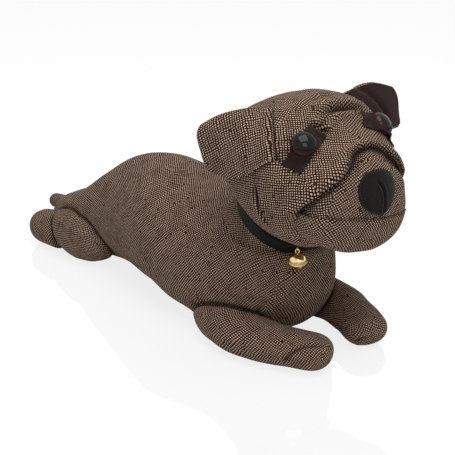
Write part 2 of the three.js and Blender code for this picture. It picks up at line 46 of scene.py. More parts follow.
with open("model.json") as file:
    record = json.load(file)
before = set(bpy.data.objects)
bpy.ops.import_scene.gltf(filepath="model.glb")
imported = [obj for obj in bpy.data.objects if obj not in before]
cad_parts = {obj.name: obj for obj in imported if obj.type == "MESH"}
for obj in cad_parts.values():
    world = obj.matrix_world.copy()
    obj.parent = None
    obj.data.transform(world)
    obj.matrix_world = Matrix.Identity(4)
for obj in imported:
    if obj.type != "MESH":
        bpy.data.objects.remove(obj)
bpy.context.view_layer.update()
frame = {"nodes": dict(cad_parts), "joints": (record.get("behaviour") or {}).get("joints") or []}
MM = 0.001
TURN = 2 * math.pi
UP = np.array([0.0, 0.0, 1.0])
FORWARD = np.array([1.0, 0.0, 0.0])
LEFT = np.array([0.0, 1.0, 0.0])
SIDES = ((-1, "right"), (1, "left"))
YARN_DRIFT, RIB_PITCH = 0.8, 0.9 * MM


def srgb(*levels):
    """A colour as a screen shows it, from 0 to 255, as the shader wants it."""
    shares = [level / 255 for level in levels]
    return tuple(s / 12.92 if s <= 0.04045 else ((s + 0.055) / 1.055) ** 2.4 for s in shares)


def length(name, description, default):
    """A length that the add-on's panel shows."""
    return FloatProperty(name=name, description=description, default=default, unit="LENGTH", precision=5)


def dye(name, description, *levels):
    """A colour that the add-on's panel shows."""
    return FloatVectorProperty(
        name=name, description=description, subtype="COLOR", size=3, default=srgb(*levels))


class TweedSettings(PropertyGroup):
    pitch: length("Weave pitch", "Distance between two like flecks along a yarn", 2.35 * MM)
    relief: length("Yarn relief", "How far the light yarn stands up", 0.35 * MM)
    dark: dye("Dark yarn", "Colour of the dark brown yarn", 29, 15, 8)
    light: dye("Light yarn", "Colour of the cream yarn", 243, 208, 181)
    red: dye("Red fleck", "Colour of the few reddish flecks", 140, 74, 52)
    red_share: FloatProperty(
        name="Red share", description="Share of the light flecks that are reddish", default=0.007,
        min=0, max=1, subtype="FACTOR")


class StuffingSettings(PropertyGroup):
    pressure: FloatProperty(
        name="Pressure", description="How hard the stuffing presses the cloth out", default=4.0)
    slack: FloatProperty(
        name="Slack", description="Share by which the cloth is cut too large", default=0.02)
    frames: IntProperty(
        name="Frames", description="Steps for which the cloth settles", default=20, min=2)
    start: length("Start", "How much smaller a bag starts than its solid", 1.6 * MM)


class TrimSettings(PropertyGroup):
    eye_radius: length("Eye radius", "Radius of a dome eye", 9 * MM)
    nose_width: length("Nose width", "Width of the felt nose", 36 * MM)
    nose_height: length("Nose height", "Height of the felt nose", 31 * MM)
    collar_width: length("Collar width", "Width of the ribbon", 9.5 * MM)
    bell_radius: length("Bell radius", "Radius of the jingle bell", 6.5 * MM)
    stitch_spacing: length("Stitch spacing", "Distance between two stitches", 2.2 * MM)
    lining: dye("Lining", "Colour of the ear linings and eye patches", 33, 18, 15)
    nose: dye("Nose", "Colour of the felt", 21, 20, 18)
    brass: dye("Bell", "Colour of the bell's plating", 255, 228, 166)


class StageSettings(PropertyGroup):
    lens: FloatProperty(
        name="Lens", description="Focal length on a 36 mm sensor", default=93.05)
    key: FloatProperty(
        name="Top light", description="Power of the large lamp above", default=8.7, unit="POWER")
    fill: FloatProperty(
        name="Front light", description="Power of the lamp in front", default=2.7, unit="POWER")
    sky: FloatProperty(
        name="Surroundings", description="Strength of the even light all round", default=0.235)
    mirror: FloatProperty(
        name="Mirror", description="Share of the floor's reflection", default=0.1, subtype="FACTOR")


def add_node(tree, kind, settings=None, inputs=None):
    """A node of that kind, with its settings and the values or links of its sockets."""
    made = tree.nodes.new(kind)
    for name, setting in (settings or {}).items():
        setattr(made, name, setting)
    for name, value in (inputs or {}).items():
        value = getattr(value, "socket", value)
        if isinstance(value, bpy.types.NodeSocket):
            tree.links.new(value, made.inputs[name])
        else:
            made.inputs[name].default_value = value
    return made


class Value:
    """A socket that takes part in plain arithmetic and adds its Math nodes."""

    def __init__(self, shader, socket):
        self.shader, self.socket = shader, socket

    def maths(self, operation, *others):
        inputs = {0: self.socket}
        inputs.update({i + 1: getattr(other, "socket", other) for i, other in enumerate(others)})
        node = self.shader.node("ShaderNodeMath", {"operation": operation}, inputs)
        return Value(self.shader, node.outputs[0])

    def __add__(self, other):
        return self.maths("ADD", other)

    def __sub__(self, other):
        return self.maths("SUBTRACT", other)

    def __mul__(self, other):
        return self.maths("MULTIPLY", other)

    def __truediv__(self, other):
        return self.maths("DIVIDE", other)

    def __rsub__(self, other):
        return self.maths("MULTIPLY_ADD", -1.0, other)

    def __rtruediv__(self, other):
        return self.maths("POWER", -1.0) * other

    __radd__ = __add__
    __rmul__ = __mul__

    def sine(self):
        return self.maths("SINE")

    def floor(self):
        return self.maths("FLOOR")

    def over(self, limit):
        return self.maths("GREATER_THAN", limit)

    def smooth(self, low, high):
        node = self.shader.node(
            "ShaderNodeMapRange", {"interpolation_type": "SMOOTHSTEP"},
            {"Value": self.socket, "From Min": low, "From Max": high})
        return Value(self.shader, node.outputs["Result"])


class Shader:
    """A material's node tree, built by name."""

    def __init__(self, material):
        material.use_nodes = True
        self.tree = material.node_tree
        self.tree.nodes.clear()

    def node(self, kind, settings=None, inputs=None):
        return add_node(self.tree, kind, settings, inputs)

    def value(self, node, output=0):
        return Value(self, node.outputs[output])

    def place(self):
        return self.node("ShaderNodeTexCoord").outputs["Object"]

    def noise(self, scale, detail=2.0, output="Fac"):
        made = self.node("ShaderNodeTexNoise", {}, {"Vector": self.place(), "Scale": scale, "Detail": detail})
        return self.value(made, output)

    def mix(self, share, one, other):
        colours = [(*c, 1.0) if isinstance(c, (tuple, list)) and len(c) == 3 else c for c in (one, other)]
        made = self.node(
            "ShaderNodeMix", {"data_type": "RGBA"}, {0: share, 6: colours[0], 7: colours[1]})
        return made.outputs[2]

    def weave(self):
        """The two directions of the piece's weave map, in metres."""
        flat = self.node("ShaderNodeUVMap", {"uv_map": "weave"}).outputs["UV"]
        return self.parts(flat)

    def parts(self, vector):
        split = self.node("ShaderNodeSeparateXYZ", {}, {0: vector})
        return self.value(split, "X"), self.value(split, "Y")

    def attribute(self, name):
        return self.value(self.node("ShaderNodeAttribute", {"attribute_name": name}), "Fac")

    def bump(self, height, distance, strength=1.0):
        made = self.node("ShaderNodeBump", {}, {"Height": height, "Distance": distance, "Strength": strength})
        return made.outputs["Normal"]

    def surface(self, **inputs):
        names = {name.replace("_", " ").title().replace("Ior", "IOR"): value for name, value in inputs.items()}
        made = self.node("ShaderNodeBsdfPrincipled", {}, names)
        self.node("ShaderNodeOutputMaterial", {}, {"Surface": made.outputs["BSDF"]})


def material(name, build):
    """The finished material of that name, built once. The solids' own plain ones keep their names."""
    name = f"finished {name}"
    found = bpy.data.materials.get(name)
    if found is None:
        found = bpy.data.materials.new(name)
        build(Shader(found))
    return found


def tweed(shader):
    """Cream and dark brown yarn in a small check, on the cloth's own weave map."""
    settings = bpy.context.scene.dog_tweed
    warp, weft = shader.weave()
    across = warp / settings.pitch + (shader.noise(170.0, 1.0) - 0.5) * YARN_DRIFT
    drift = shader.node("ShaderNodeSeparateColor", {}, {0: shader.noise(140.0, 1.0, output="Color")})
    along = weft / settings.pitch + (shader.value(drift, "Green") - 0.5) * YARN_DRIFT
    check = (across * TURN).sine() * (along * TURN).sine()
    fibre = shader.noise(1500.0, 2.0)
    light = (check + (fibre - 0.5) * 0.8).smooth(0.17, 0.5)
    cell = shader.node("ShaderNodeCombineXYZ", {}, {"X": (across * 2.0).floor(), "Y": (along * 2.0).floor()})
    chance = shader.value(
        shader.node("ShaderNodeTexWhiteNoise", {"noise_dimensions": "2D"}, {"Vector": cell.outputs[0]}),
        "Value")
    paler = shader.mix(chance * 0.4, tuple(settings.light), tuple(0.52 * c for c in settings.light))
    yarn = shader.mix(chance.over(1 - settings.red_share), paler, tuple(settings.red))
    brown = shader.mix(chance * 0.7, tuple(settings.dark), tuple(2.6 * c for c in settings.dark))
    cloth = shader.mix(light, brown, yarn)
    patchy = shader.noise(14.0, 3.0).smooth(0.3, 0.7)
    mottled = shader.mix(shader.noise(115.0, 4.0).smooth(0.42, 0.72) * 0.3, cloth, tuple(settings.dark))
    worn = shader.mix(patchy * 0.09, mottled, srgb(104, 88, 77))
    # Painted shade: the cloth's colour turns near black where the crease attribute marks folds, seams and
    # hollows.
    shaded = shader.mix(shader.attribute("crease") * 0.93, worn, srgb(20, 11, 7))
    relief = light * 0.7 + fibre * 0.5
    shader.surface(
        base_color=shaded, roughness=0.95, specular_ior_level=0.12, sheen_weight=0.06, sheen_roughness=0.6,
        sheen_tint=(*srgb(210, 196, 184), 1.0), normal=shader.bump(relief, settings.relief, 0.7))


def suede(shader):
    """Dark red-brown lining with a short brushed nap."""
    colour = tuple(bpy.context.scene.dog_trim.lining)
    nap = shader.noise(420.0, 4.0)
    broad = shader.noise(45.0, 3.0)
    brushed = shader.mix(broad.smooth(0.35, 0.7) * 0.55, colour, tuple(1.9 * c for c in colour))
    grained = shader.mix(nap.smooth(0.3, 0.75) * 0.35, brushed, tuple(0.45 * c for c in colour))
    # Painted shade: the lining's colour darkens where the crease attribute marks the hollow round the eye and
    # folds.
    shaded = shader.mix(shader.attribute("crease") * 0.7, grained, srgb(14, 7, 6))
    shader.surface(
        base_color=shaded, roughness=0.85, specular_ior_level=0.25, sheen_weight=0.25, sheen_roughness=0.45,
        sheen_tint=(*srgb(150, 110, 102), 1.0), normal=shader.bump(nap, 0.25 * MM, 0.6))


def felt(shader):
    """Pressed black wool with short matted fibres."""
    colour = tuple(bpy.context.scene.dog_trim.nose)
    fibres = shader.noise(700.0, 5.0)
    matted = shader.noise(120.0, 4.0)
    base = shader.mix(fibres.smooth(0.35, 0.7) * 0.5, colour, tuple(2.0 * c for c in colour))
    deep = shader.mix(matted.smooth(0.4, 0.7) * 0.4, base, tuple(0.5 * c for c in colour))
    # Painted shade: the felt's colour darkens where the crease attribute marks the dart.
    shaded = shader.mix(shader.attribute("crease") * 0.8, deep, srgb(8, 8, 8))
    shader.surface(
        base_color=shaded, roughness=0.92, specular_ior_level=0.2, sheen_weight=0.15, sheen_roughness=0.4,
        normal=shader.bump(fibres + matted * 0.5, 0.3 * MM, 0.7))


def ribbon(shader):
    """Black ribbed ribbon; the ribs run across its length."""
    rib = (shader.weave()[0] * (TURN / RIB_PITCH)).sine()
    fibre = shader.noise(900.0, 3.0)
    tone = shader.mix((rib * 0.5 + 0.5) * 0.6 + fibre * 0.3, srgb(5, 5, 4), srgb(18, 17, 15))
    shader.surface(
        base_color=tone, roughness=0.62, specular_ior_level=0.2, sheen_weight=0.02,
        normal=shader.bump(rib * 0.5 + fibre * 0.4, 0.18 * MM, 0.8))


def dome(shader):
    """Polished plastic, near black with a dark red-brown edge."""
    rim = shader.attribute("rim")
    wear = shader.noise(300.0, 3.0).smooth(0.55, 0.8)
    colour = shader.mix(rim.smooth(0.74, 0.97), srgb(5, 4, 4), srgb(66, 23, 15))
    shader.surface(base_color=colour, roughness=wear * 0.05 + 0.06, specular_ior_level=0.22)


def plate(shader):
    """Bright yellow plate with a lightly hammered skin and some tarnish."""
    colour = tuple(bpy.context.scene.dog_trim.brass)
    cells = shader.node("ShaderNodeTexVoronoi", {"feature": "F1"}, {"Vector": shader.place(), "Scale": 330.0})
    dents = shader.value(cells, "Distance")
    tarnish = shader.noise(260.0, 4.0).smooth(0.5, 0.75)
    shaded = shader.mix(tarnish * 0.35, colour, srgb(132, 90, 38))
    shader.surface(
        base_color=shaded, metallic=1.0, roughness=tarnish * 0.2 + 0.16,
        normal=shader.bump(dents, 0.35 * MM, 0.5))


def thread(shader):
    """Waxed black sewing thread."""
    twist = shader.noise(2600.0, 2.0)
    shader.surface(
        base_color=shader.mix(twist, srgb(10, 9, 9), srgb(52, 46, 43)), roughness=0.7,
        normal=shader.bump(twist, 0.1 * MM))


def plain_cloth(dark, light, scale):
    """A plain over-and-under weave, for what is hidden inside or underneath."""

    def build(shader):
        warp, weft = ((way * scale).sine() for way in shader.parts(shader.place()))
        grain = shader.noise(500.0, 3.0)
        tone = (warp * weft * 0.35 + grain).smooth(0.1, 0.9)
        shader.surface(
            base_color=shader.mix(tone, dark, light), roughness=0.95, sheen_weight=0.1,
            normal=shader.bump(tone, 0.2 * MM, 0.6))

    return build


def wadding(shader):
    """Loose white fibre."""
    curls = shader.noise(260.0, 6.0)
    shader.surface(
        base_color=shader.mix(curls, srgb(206, 202, 192), srgb(246, 244, 238)), roughness=1.0, sheen_weight=0.3,
        normal=shader.bump(curls, 1.5 * MM, 0.8))


def moulded(shader):
    """Plain white moulded plastic."""
    grain = shader.noise(700.0, 2.0)
    shader.surface(
        base_color=shader.mix(grain * 0.4, srgb(226, 224, 218), srgb(196, 194, 188)), roughness=0.5,
        normal=shader.bump(grain, 0.05 * MM, 0.5))


def through(values, places):
    """A smooth curve through rows of numbers, read at places from 0 to the last row."""
    values = np.asarray(values, float)
    i = np.minimum(np.asarray(places).astype(int), len(values) - 2)
    t = (places - i)[:, None]

    def at(k):
        return values[np.clip(k, 0, len(values) - 1)]

    slope_start = (at(i + 1) - at(i - 1)) / 2
    slope_end = (at(i + 2) - at(i)) / 2
    rise = at(i + 1) - at(i)
    square = 3 * rise - 2 * slope_start - slope_end
    return at(i) + slope_start * t + square * t**2 + (slope_start + slope_end - 2 * rise) * t**3


def rings(centres, sides, rises, drops, squareness, points):
    """Rings from their lowest point round by the left side. Rise and drop are the axes up and down."""
    angle = np.linspace(-0.5 * np.pi, 1.5 * np.pi, points, endpoint=False)
    c, s = np.cos(angle), np.sin(angle)
    power = np.asarray(squareness, float).reshape(-1, 1)
    reach = (np.abs(s) ** power + np.abs(c) ** power) ** (-1 / power)
    high = np.where(s > 0, s, 0) * reach
    low = np.where(s < 0, -s, 0) * reach
    return (
        centres[:, None] + sides[:, None] * (c * reach)[..., None]
        + rises[:, None] * high[..., None] + drops[:, None] * low[..., None])


def bag(stations, steps, points, middle=None, turn=None):
    """A stuffed bag through stations [x, half width, bottom, top, squareness] in mm."""
    stations = np.asarray(stations, float)
    x, half, low, high, squareness = through(stations, np.linspace(0, len(stations) - 1, steps + 1)).T
    half = np.maximum(half, 0.5)
    middle = (low + high) / 2 if middle is None else np.full_like(x, middle)
    centres = np.stack([x, 0 * x, middle], 1)
    sides = np.stack([0 * x, half, 0 * x], 1)
    rises = np.outer(np.maximum(high - middle, 0.3), UP)
    drops = np.outer(np.minimum(low - middle, -0.3), UP)
    grid = rings(centres, sides, rises, drops, squareness, points)
    if turn is not None:
        grid = grid @ np.array(turn.to_3x3()).T + np.array(turn.translation)
    return grid * MM


def limb(line, flatness, steps, points):
    """A stuffed tube with round ends along a line of [x, y, z, radius] in mm."""
    line = np.asarray(line, float)
    last = len(line) - 1
    places = (1 - np.cos(np.linspace(0, np.pi, steps + 1))) / 2 * last
    rows = through(line, places)
    centres, radius = rows[:, :3], rows[:, 3]
    from_end = np.minimum(places, last - places) / last * np.linalg.norm(line[-1, :3] - line[0, :3])
    round_end = np.sqrt(1 - np.maximum(0, 1 - from_end / radius) ** 2)
    ahead = through(line, np.minimum(places + 0.01, last)) - through(line, np.maximum(places - 0.01, 0))
    ahead = ahead[:, :3] / np.linalg.norm(ahead[:, :3], axis=1)[:, None]
    side = np.cross(UP, ahead)
    side /= np.linalg.norm(side, axis=1)[:, None]
    rise = np.cross(ahead, side)
    reach = (radius * np.maximum(round_end, 0.12))[:, None]
    rise = rise * reach * flatness
    return rings(centres, side * reach, rise, -rise, np.full(len(rows), 2.1), points) * MM


def even_rings(grid):
    """The same bag with its rings spread evenly along its skin."""
    steps = np.linalg.norm(np.diff(grid, axis=0), axis=2).mean(1)
    along = np.concatenate([[0], np.cumsum(steps)])
    wanted = np.linspace(0, along[-1], len(grid))
    flat = grid.reshape(len(grid), -1)
    return np.stack([np.interp(wanted, along, column) for column in flat.T], 1).reshape(grid.shape)


def weave_map(grid, turn, even):
    """Where each point lies on the flat cloth, in metres: along the bag, and round it from its top.

    With even at 1 the lines along the bag meet at its ends, with even at 0 they keep their distance.
    """
    closed = np.concatenate([grid, grid[:, :1]], axis=1)
    along = np.concatenate([[0], np.cumsum(np.linalg.norm(np.diff(grid, axis=0), axis=2).mean(1))])
    steps = np.linalg.norm(np.diff(closed, axis=1), axis=2)
    round_it = np.concatenate([np.zeros((len(grid), 1)), np.cumsum(steps, axis=1)], axis=1)
    top = round_it[:, grid.shape[1] // 2][:, None]
    u = np.repeat(along[:, None], closed.shape[1], 1)
    girth = round_it[:, -1:]
    v = (round_it - top) * (girth.max() / np.maximum(girth, 1e-4)) ** even
    return turned_map(np.stack([u, v], axis=2), turn)


def turned_map(flat, turn):
    """The flat cloth turned under the pattern, and moved off the map's corner."""
    c, s = math.cos(turn), math.sin(turn)
    return flat @ np.array([[c, s], [-s, c]]) + 0.5


def quads(rows, around, closed=False):
    """The faces of a grid of points whose rows run round, and that may close on itself."""
    faces = []
    for i in range(rows if closed else rows - 1):
        n = (i + 1) % rows
        for j in range(around):
            k = (j + 1) % around
            faces.append((i * around + j, i * around + k, n * around + k, n * around + j))
    return faces


def new_piece(name, points, faces, maps, surface):
    """A mesh object at the origin, with its weave map given for each face's corner."""
    mesh = bpy.data.meshes.new(name)
    mesh.from_pydata([tuple(p) for p in points], [], faces)
    if maps is not None:
        layer = mesh.uv_layers.new(name="weave")
        layer.data.foreach_set("uv", np.asarray(maps, np.float32).ravel())
    # The crease attribute holds painted shade: how far each point's colour is darkened for the shade in folds
    # and seams.
    mesh.attributes.new("crease", "FLOAT", "POINT")
    mesh.polygons.foreach_set("use_smooth", [True] * len(mesh.polygons))
    mesh.materials.append(surface)
    mesh.update()
    piece = bpy.data.objects.new(name, mesh)
    bpy.context.scene.collection.objects.link(piece)
    return piece


def sewn(name, grid, surface, turn=0.0, even=0.6, cap=0.72):
    """A closed bag from a grid of rings, with a point closing each end. Its ends are cut flat on."""
    n, m = grid.shape[:2]
    uv = weave_map(grid, turn, even)
    closed = np.concatenate([grid, grid[:, :1]], axis=1)
    points = np.concatenate([grid.reshape(-1, 3), grid[0].mean(0)[None], grid[-1].mean(0)[None]])
    ends = []
    for here, inner in ((0, 4), (n - 1, n - 5)):
        way = grid[here].mean(0) - grid[inner].mean(0)
        way /= np.linalg.norm(way)
        side = np.cross(UP, way) / np.linalg.norm(np.cross(UP, way))
        frame_of_end = np.stack([side, np.cross(way, side)], axis=1)
        flat = turned_map((closed - grid[here].mean(0)) @ frame_of_end, turn)
        ends.append((way, flat))
    faces, maps = quads(n, m), []
    for i in range(n - 1):
        way, flat = ends[0 if i < n // 2 else 1]
        for j in range(m):
            out = np.cross(closed[i + 1, j + 1] - closed[i, j], closed[i + 1, j] - closed[i, j + 1])
            lay = flat if out @ way > cap * np.linalg.norm(out) else uv
            maps += [lay[i, j], lay[i, j + 1], lay[i + 1, j + 1], lay[i + 1, j]]
    last = (n - 1) * m
    first_flat, last_flat = ends[0][1][0], ends[1][1][-1]
    for j in range(m):
        k = (j + 1) % m
        faces += [(n * m, k, j), (n * m + 1, last + j, last + k)]
        maps += [first_flat.mean(0), first_flat[j + 1], first_flat[j]]
        maps += [last_flat.mean(0), last_flat[j], last_flat[j + 1]]
    return new_piece(name, points, faces, maps, surface)


def read(piece):
    """The piece's points, as rows of three numbers."""
    points = np.empty(len(piece.data.vertices) * 3)
    piece.data.vertices.foreach_get("co", points)
    return points.reshape(-1, 3)


def write(piece, points):
    """Moves the piece's points."""
    piece.data.vertices.foreach_set("co", np.asarray(points, np.float32).ravel())
    piece.data.update()


def outward(piece):
    """The way out of the cloth at each point."""
    normals = np.empty(len(piece.data.vertices) * 3, np.float32)
    piece.data.vertex_normals.foreach_get("vector", normals)
    return normals.reshape(-1, 3).astype(float)


def darken(piece, share):
    """Keeps the deepest painted shade of each point: the crease attribute darkens the colour where shade falls
    in folds, seams and hollows.
    """
    layer = piece.data.attributes["crease"].data
    old = np.empty(len(layer), np.float32)
    layer.foreach_get("value", old)
    layer.foreach_set("value", np.clip(np.maximum(old, share), 0, 1).astype(np.float32))


def face_outwards(piece):
    """Turns the faces of a closed piece round where they point inwards."""
    points = read(piece)
    piece.data.calc_loop_triangles()
    corners = np.array([points[list(t.vertices)] for t in piece.data.loop_triangles])
    if np.einsum("ij,ij->i", corners[:, 0], np.cross(corners[:, 1], corners[:, 2])).sum() < 0:
        piece.data.flip_normals()


def apply_all(piece):
    """The piece's modifiers, turned into its mesh."""
    depsgraph = bpy.context.evaluated_depsgraph_get()
    done = bpy.data.meshes.new_from_object(piece.evaluated_get(depsgraph), depsgraph=depsgraph)
    old = piece.data
    piece.modifiers.clear()
    piece.data = done
    bpy.data.meshes.remove(old)
    done.name = piece.name


def refine(piece, levels):
    """Divides the cloth more finely, and smooths it."""
    modifier = piece.modifiers.new("finer cloth", "SUBSURF")
    modifier.levels = modifier.render_levels = levels
    apply_all(piece)


def to_line(points, line):
    """Distance of points from a line of points, and the share of the line where each comes nearest."""
    line = np.asarray(line, float)
    lengths = np.linalg.norm(np.diff(line, axis=0), axis=1)
    starts = np.concatenate([[0], np.cumsum(lengths)])
    best = np.full(len(points), 1e9)
    share = np.zeros(len(points))
    for k in range(len(line) - 1):
        a, d = line[k], line[k + 1] - line[k]
        t = np.clip((points - a) @ d / max(d @ d, 1e-12), 0, 1)
        away = np.linalg.norm(points - a - t[:, None] * d, axis=1)
        nearer = away < best
        best[nearer] = away[nearer]
        share[nearer] = ((starts[k] + t * lengths[k]) / starts[-1])[nearer]
    return best, share


def smooth_line(points, count=40):
    """A smooth line in metres through points in mm."""
    points = np.asarray(points, float) * MM
    return through(points, np.linspace(0, len(points) - 1, count))


def crease(piece, line, depth, width, roll=0.35, shade=0.8, fade=0.18):
    """Presses a sewn fold into the cloth along a line in mm, with a soft roll on both sides, and paints shade
    into the fold's colour.
    """
    points = read(piece)
    away, share = to_line(points, smooth_line(line))
    ends = np.clip(np.minimum(share, 1 - share) / fade, 0, 1) ** 0.7 if fade else 1.0
    width = width * MM
    dip = np.exp(-((away / width) ** 2))
    rim = np.exp(-(((away - 2.0 * width) / (1.1 * width)) ** 2))
    move = (roll * rim - dip) * depth * MM * ends
    near = away < 6 * width
    points[near] += (outward(piece) * move[:, None])[near]
    write(piece, points)
    # Painted shade: darkens the colour in the fold by the share shade, through the crease attribute.
    darken(piece, shade * np.exp(-((away / (0.75 * width)) ** 2)) * ends)


def skin(piece):
    """The piece's surface, for nearest points and rays."""
    mesh = piece.data
    return BVHTree.FromPolygons([v.co for v in mesh.vertices], [p.vertices for p in mesh.polygons])


def neighbour(name):
    """A piece's surface with the box round it."""
    piece = bpy.data.objects[name]
    points = read(piece)
    return skin(piece), points.min(0), points.max(0)


def gaps_to(points, other, reach):
    """Distance to a neighbour's skin, less than nought inside it, and far where it is out of reach."""
    tree, low, high = other
    away = np.full(len(points), 1.0)
    near = np.all((points > low - reach) & (points < high + reach), axis=1)
    for i in np.nonzero(near)[0]:
        found, normal, _, distance = tree.find_nearest(Vector(points[i]), reach)
        if found is not None:
            inside = (Vector(points[i]) - found).dot(normal) < 0
            away[i] = -distance if inside else distance
    return away


def tuck(piece, other, depth, width, shade=0.85, roll=0.3):
    """Draws the cloth in where it is sewn to a neighbour, and paints shade into the seam's colour."""
    points = read(piece)
    width = width * MM
    away = np.abs(gaps_to(points, other, 5 * width))
    dip = np.exp(-((away / width) ** 2))
    rim = np.exp(-(((away - 2.2 * width) / (1.1 * width)) ** 2))
    points += outward(piece) * ((roll * rim - dip) * depth * MM)[:, None]
    write(piece, points)
    # Painted shade: darkens the colour next to the seam, through the crease attribute.
    darken(piece, shade * np.exp(-((away / (0.8 * width)) ** 2)))


def stuff(piece, held, swell, deepest=1.0 * MM):
    """Lets the stuffing press the cloth out with its seams held, no point further than swell."""
    settings = bpy.context.scene.dog_stuffing
    start = read(piece)
    write(piece, start - outward(piece) * settings.start)
    small = read(piece)
    group = piece.vertex_groups.new(name="held")
    group.add([int(i) for i in np.nonzero(held)[0]], 1.0, "REPLACE")
    cloth = piece.modifiers.new("stuffing", "CLOTH")
    cloth.point_cache.frame_start, cloth.point_cache.frame_end = 1, settings.frames
    cloth.settings.quality = 5
    cloth.settings.mass = 0.2
    cloth.settings.use_pressure = True
    cloth.settings.uniform_pressure_force = settings.pressure
    cloth.settings.shrink_min = -settings.slack
    cloth.settings.vertex_group_mass = "held"
    cloth.settings.effector_weights.gravity = 0
    scene = bpy.context.scene
    for number in range(1, settings.frames + 1):
        scene.frame_set(number)
    depsgraph = bpy.context.evaluated_depsgraph_get()
    settled = read(piece.evaluated_get(depsgraph))
    piece.modifiers.remove(cloth)
    piece.vertex_groups.remove(group)
    scene.frame_set(1)
    move = settled - small
    distance = np.maximum(np.linalg.norm(move, axis=1), 1e-9)
    move *= (swell * np.tanh(distance / swell) / distance)[:, None]
    move += small - start
    move[held] = 0
    write(piece, start)
    move = evened(piece, move, 3, 0.4)
    out = outward(piece)
    sunk = np.minimum(np.einsum("ij,ij->i", move, out) + deepest, 0)
    write(piece, start + move - out * sunk[:, None])


def evened(piece, values, rounds, keep):
    """A value for each point, evened out between neighbours."""
    mesh = piece.data
    edges = np.empty(len(mesh.edges) * 2, np.int32)
    mesh.edges.foreach_get("vertices", edges)
    a, b = edges.reshape(-1, 2).T
    both, others = np.concatenate([a, b]), np.concatenate([b, a])
    count = np.bincount(both, minlength=len(values))[:, None]
    for _ in range(rounds):
        total = np.stack([np.bincount(both, column, len(values)) for column in values[others].T], axis=1)
        values = keep * values + (1 - keep) * total / count
    return values


def relax(piece, rounds, keep):
    """Evens out the cloth itself, so that no crease of the settling stays too sharp."""
    write(piece, evened(piece, read(piece), rounds, keep))


def cut_panels(piece, panels):
    """Cuts the cloth in flat panels: each face takes the panel that it faces most, as (way, turn)."""
    mesh = piece.data
    points = read(piece)
    ways = np.array([way for way, _ in panels], float)
    ways /= np.linalg.norm(ways, axis=1)[:, None]
    normals = np.empty(len(mesh.polygons) * 3, np.float32)
    mesh.polygons.foreach_get("normal", normals)
    chosen = np.argmax(normals.reshape(-1, 3) @ ways.T, axis=1)
    corners = np.empty(len(mesh.loops), np.int32)
    mesh.loops.foreach_get("vertex_index", corners)
    sizes = np.empty(len(mesh.polygons), np.int32)
    mesh.polygons.foreach_get("loop_total", sizes)
    owner = np.repeat(chosen, sizes)
    flat = np.zeros((len(corners), 2))
    for k, (_, turn) in enumerate(panels):
        side = np.cross(UP, ways[k]) if abs(ways[k][2]) < 0.95 else LEFT
        side = side / np.linalg.norm(side)
        rise = np.cross(ways[k], side)
        mine = owner == k
        flat[mine] = turned_map(points[corners[mine]] @ np.stack([side, rise], axis=1), math.radians(turn))
    mesh.uv_layers["weave"].data.foreach_set("uv", flat.astype(np.float32).ravel())


def lumps(piece, depth, size):
    """Soft uneven stuffing: the cloth rises and falls by the depth over lumps of the size, in mm."""
    points = read(piece)
    rise = np.array([noise.noise(Vector(point) / (size * MM)) for point in points])
    write(piece, points + outward(piece) * (rise * depth * MM)[:, None])


def on_floor(piece, height=0.25):
    """Presses the underside flat where it rests, with a soft edge."""
    points = read(piece)
    soft = 1.5 * MM
    edge = height * MM + soft
    low = points[:, 2] < edge
    points[low, 2] = edge - soft * np.tanh((edge - points[low, 2]) / soft)
    write(piece, points)


def stuff_leg(piece, held):
    """Stuffs a leg or a foot, and sets it on the floor."""
    stuff(piece, held, 2.4 * MM)
    relax(piece, 1, 0.6)
    refine(piece, 2)
    lumps(piece, 0.7, 16)
    on_floor(piece)


def near_line(piece, line, reach):
    """Which points lie within reach of a line, in mm."""
    away, _ = to_line(read(piece), smooth_line(line))
    return away < reach * MM


def near_points(piece, centres, reach):
    """Which points lie within reach of any of the centres, in mm."""
    points = read(piece)
    held = np.zeros(len(points), bool)
    for centre in centres:
        held |= np.linalg.norm(points - np.asarray(centre) * MM, axis=1) < reach * MM
    return held


def finish_piece(piece, nodes, body="dog"):
    """Ties the piece to its body, and hides the solids that it stands for."""
    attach(piece, body)
    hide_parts(*nodes)


class Place:
    """A point with two ways across it and one out of it, in mm."""

    def __init__(self, middle, across, along, out):
        self.middle, self.across, self.along, self.out = middle, across, along, out

    def at(self, a, b, height=0.0):
        return self.middle + a * self.across + b * self.along + height * self.out

    def on_skin(self, surface, a, b):
        """Where the surface lies over or under that point, and its way out there. In metres."""
        hit, normal, *_ = surface.ray_cast(Vector(self.at(a, b, 25) * MM), Vector(-self.out))
        if hit is None:
            raise RuntimeError("A piece misses the skin that it lies on")
        return hit, normal


def mirrored(line):
    """The same line on the dog's left side."""
    return [(x, -y, z) for x, y, z in line]


# The dog's forms, in mm

CHEST_X, TORSO_LENGTH, HUMP, WAIST, BREADTH = 149, 321, 107, 74, 114
TORSO = [
    (CHEST_X + (share - 1) * TORSO_LENGTH, half, low * HUMP, high * HUMP, square)
    for share, half, low, high, square in [
        (0, 0.12 * WAIST, 0.2, 0.3, 2), (0.02, 0.24 * WAIST, 0.12, 0.36, 2),
        (0.07, 0.36 * WAIST, 0.05, 0.43, 2), (0.15, 0.43 * WAIST, 0.03, 0.53, 2.1),
        (0.25, 0.46 * WAIST, 0.02, 0.74, 2.1), (0.34, 0.49 * WAIST, 0.02, 0.9, 2),
        (0.43, 0.37 * BREADTH, 0.01, 0.99, 2), (0.52, 0.44 * BREADTH, -0.014, 0.99, 2.05),
        (0.61, 0.48 * BREADTH, -0.04, 0.91, 2.15), (0.7, 0.5 * BREADTH, -0.065, 0.86, 2.2),
        (0.79, 0.49 * BREADTH, -0.06, 0.84, 2.2), (0.87, 0.45 * BREADTH, -0.02, 0.81, 2.2),
        (0.94, 0.35 * BREADTH, 0.08, 0.74, 2.1), (0.985, 0.2 * BREADTH, 0.24, 0.65, 2),
        (1, 0.07 * BREADTH, 0.38, 0.5, 2)]]
HEAD_X, HEAD_LENGTH, HEAD_WIDTH, HEAD_HEIGHT, HEAD_Z = 72, 121, 120, 108, 133
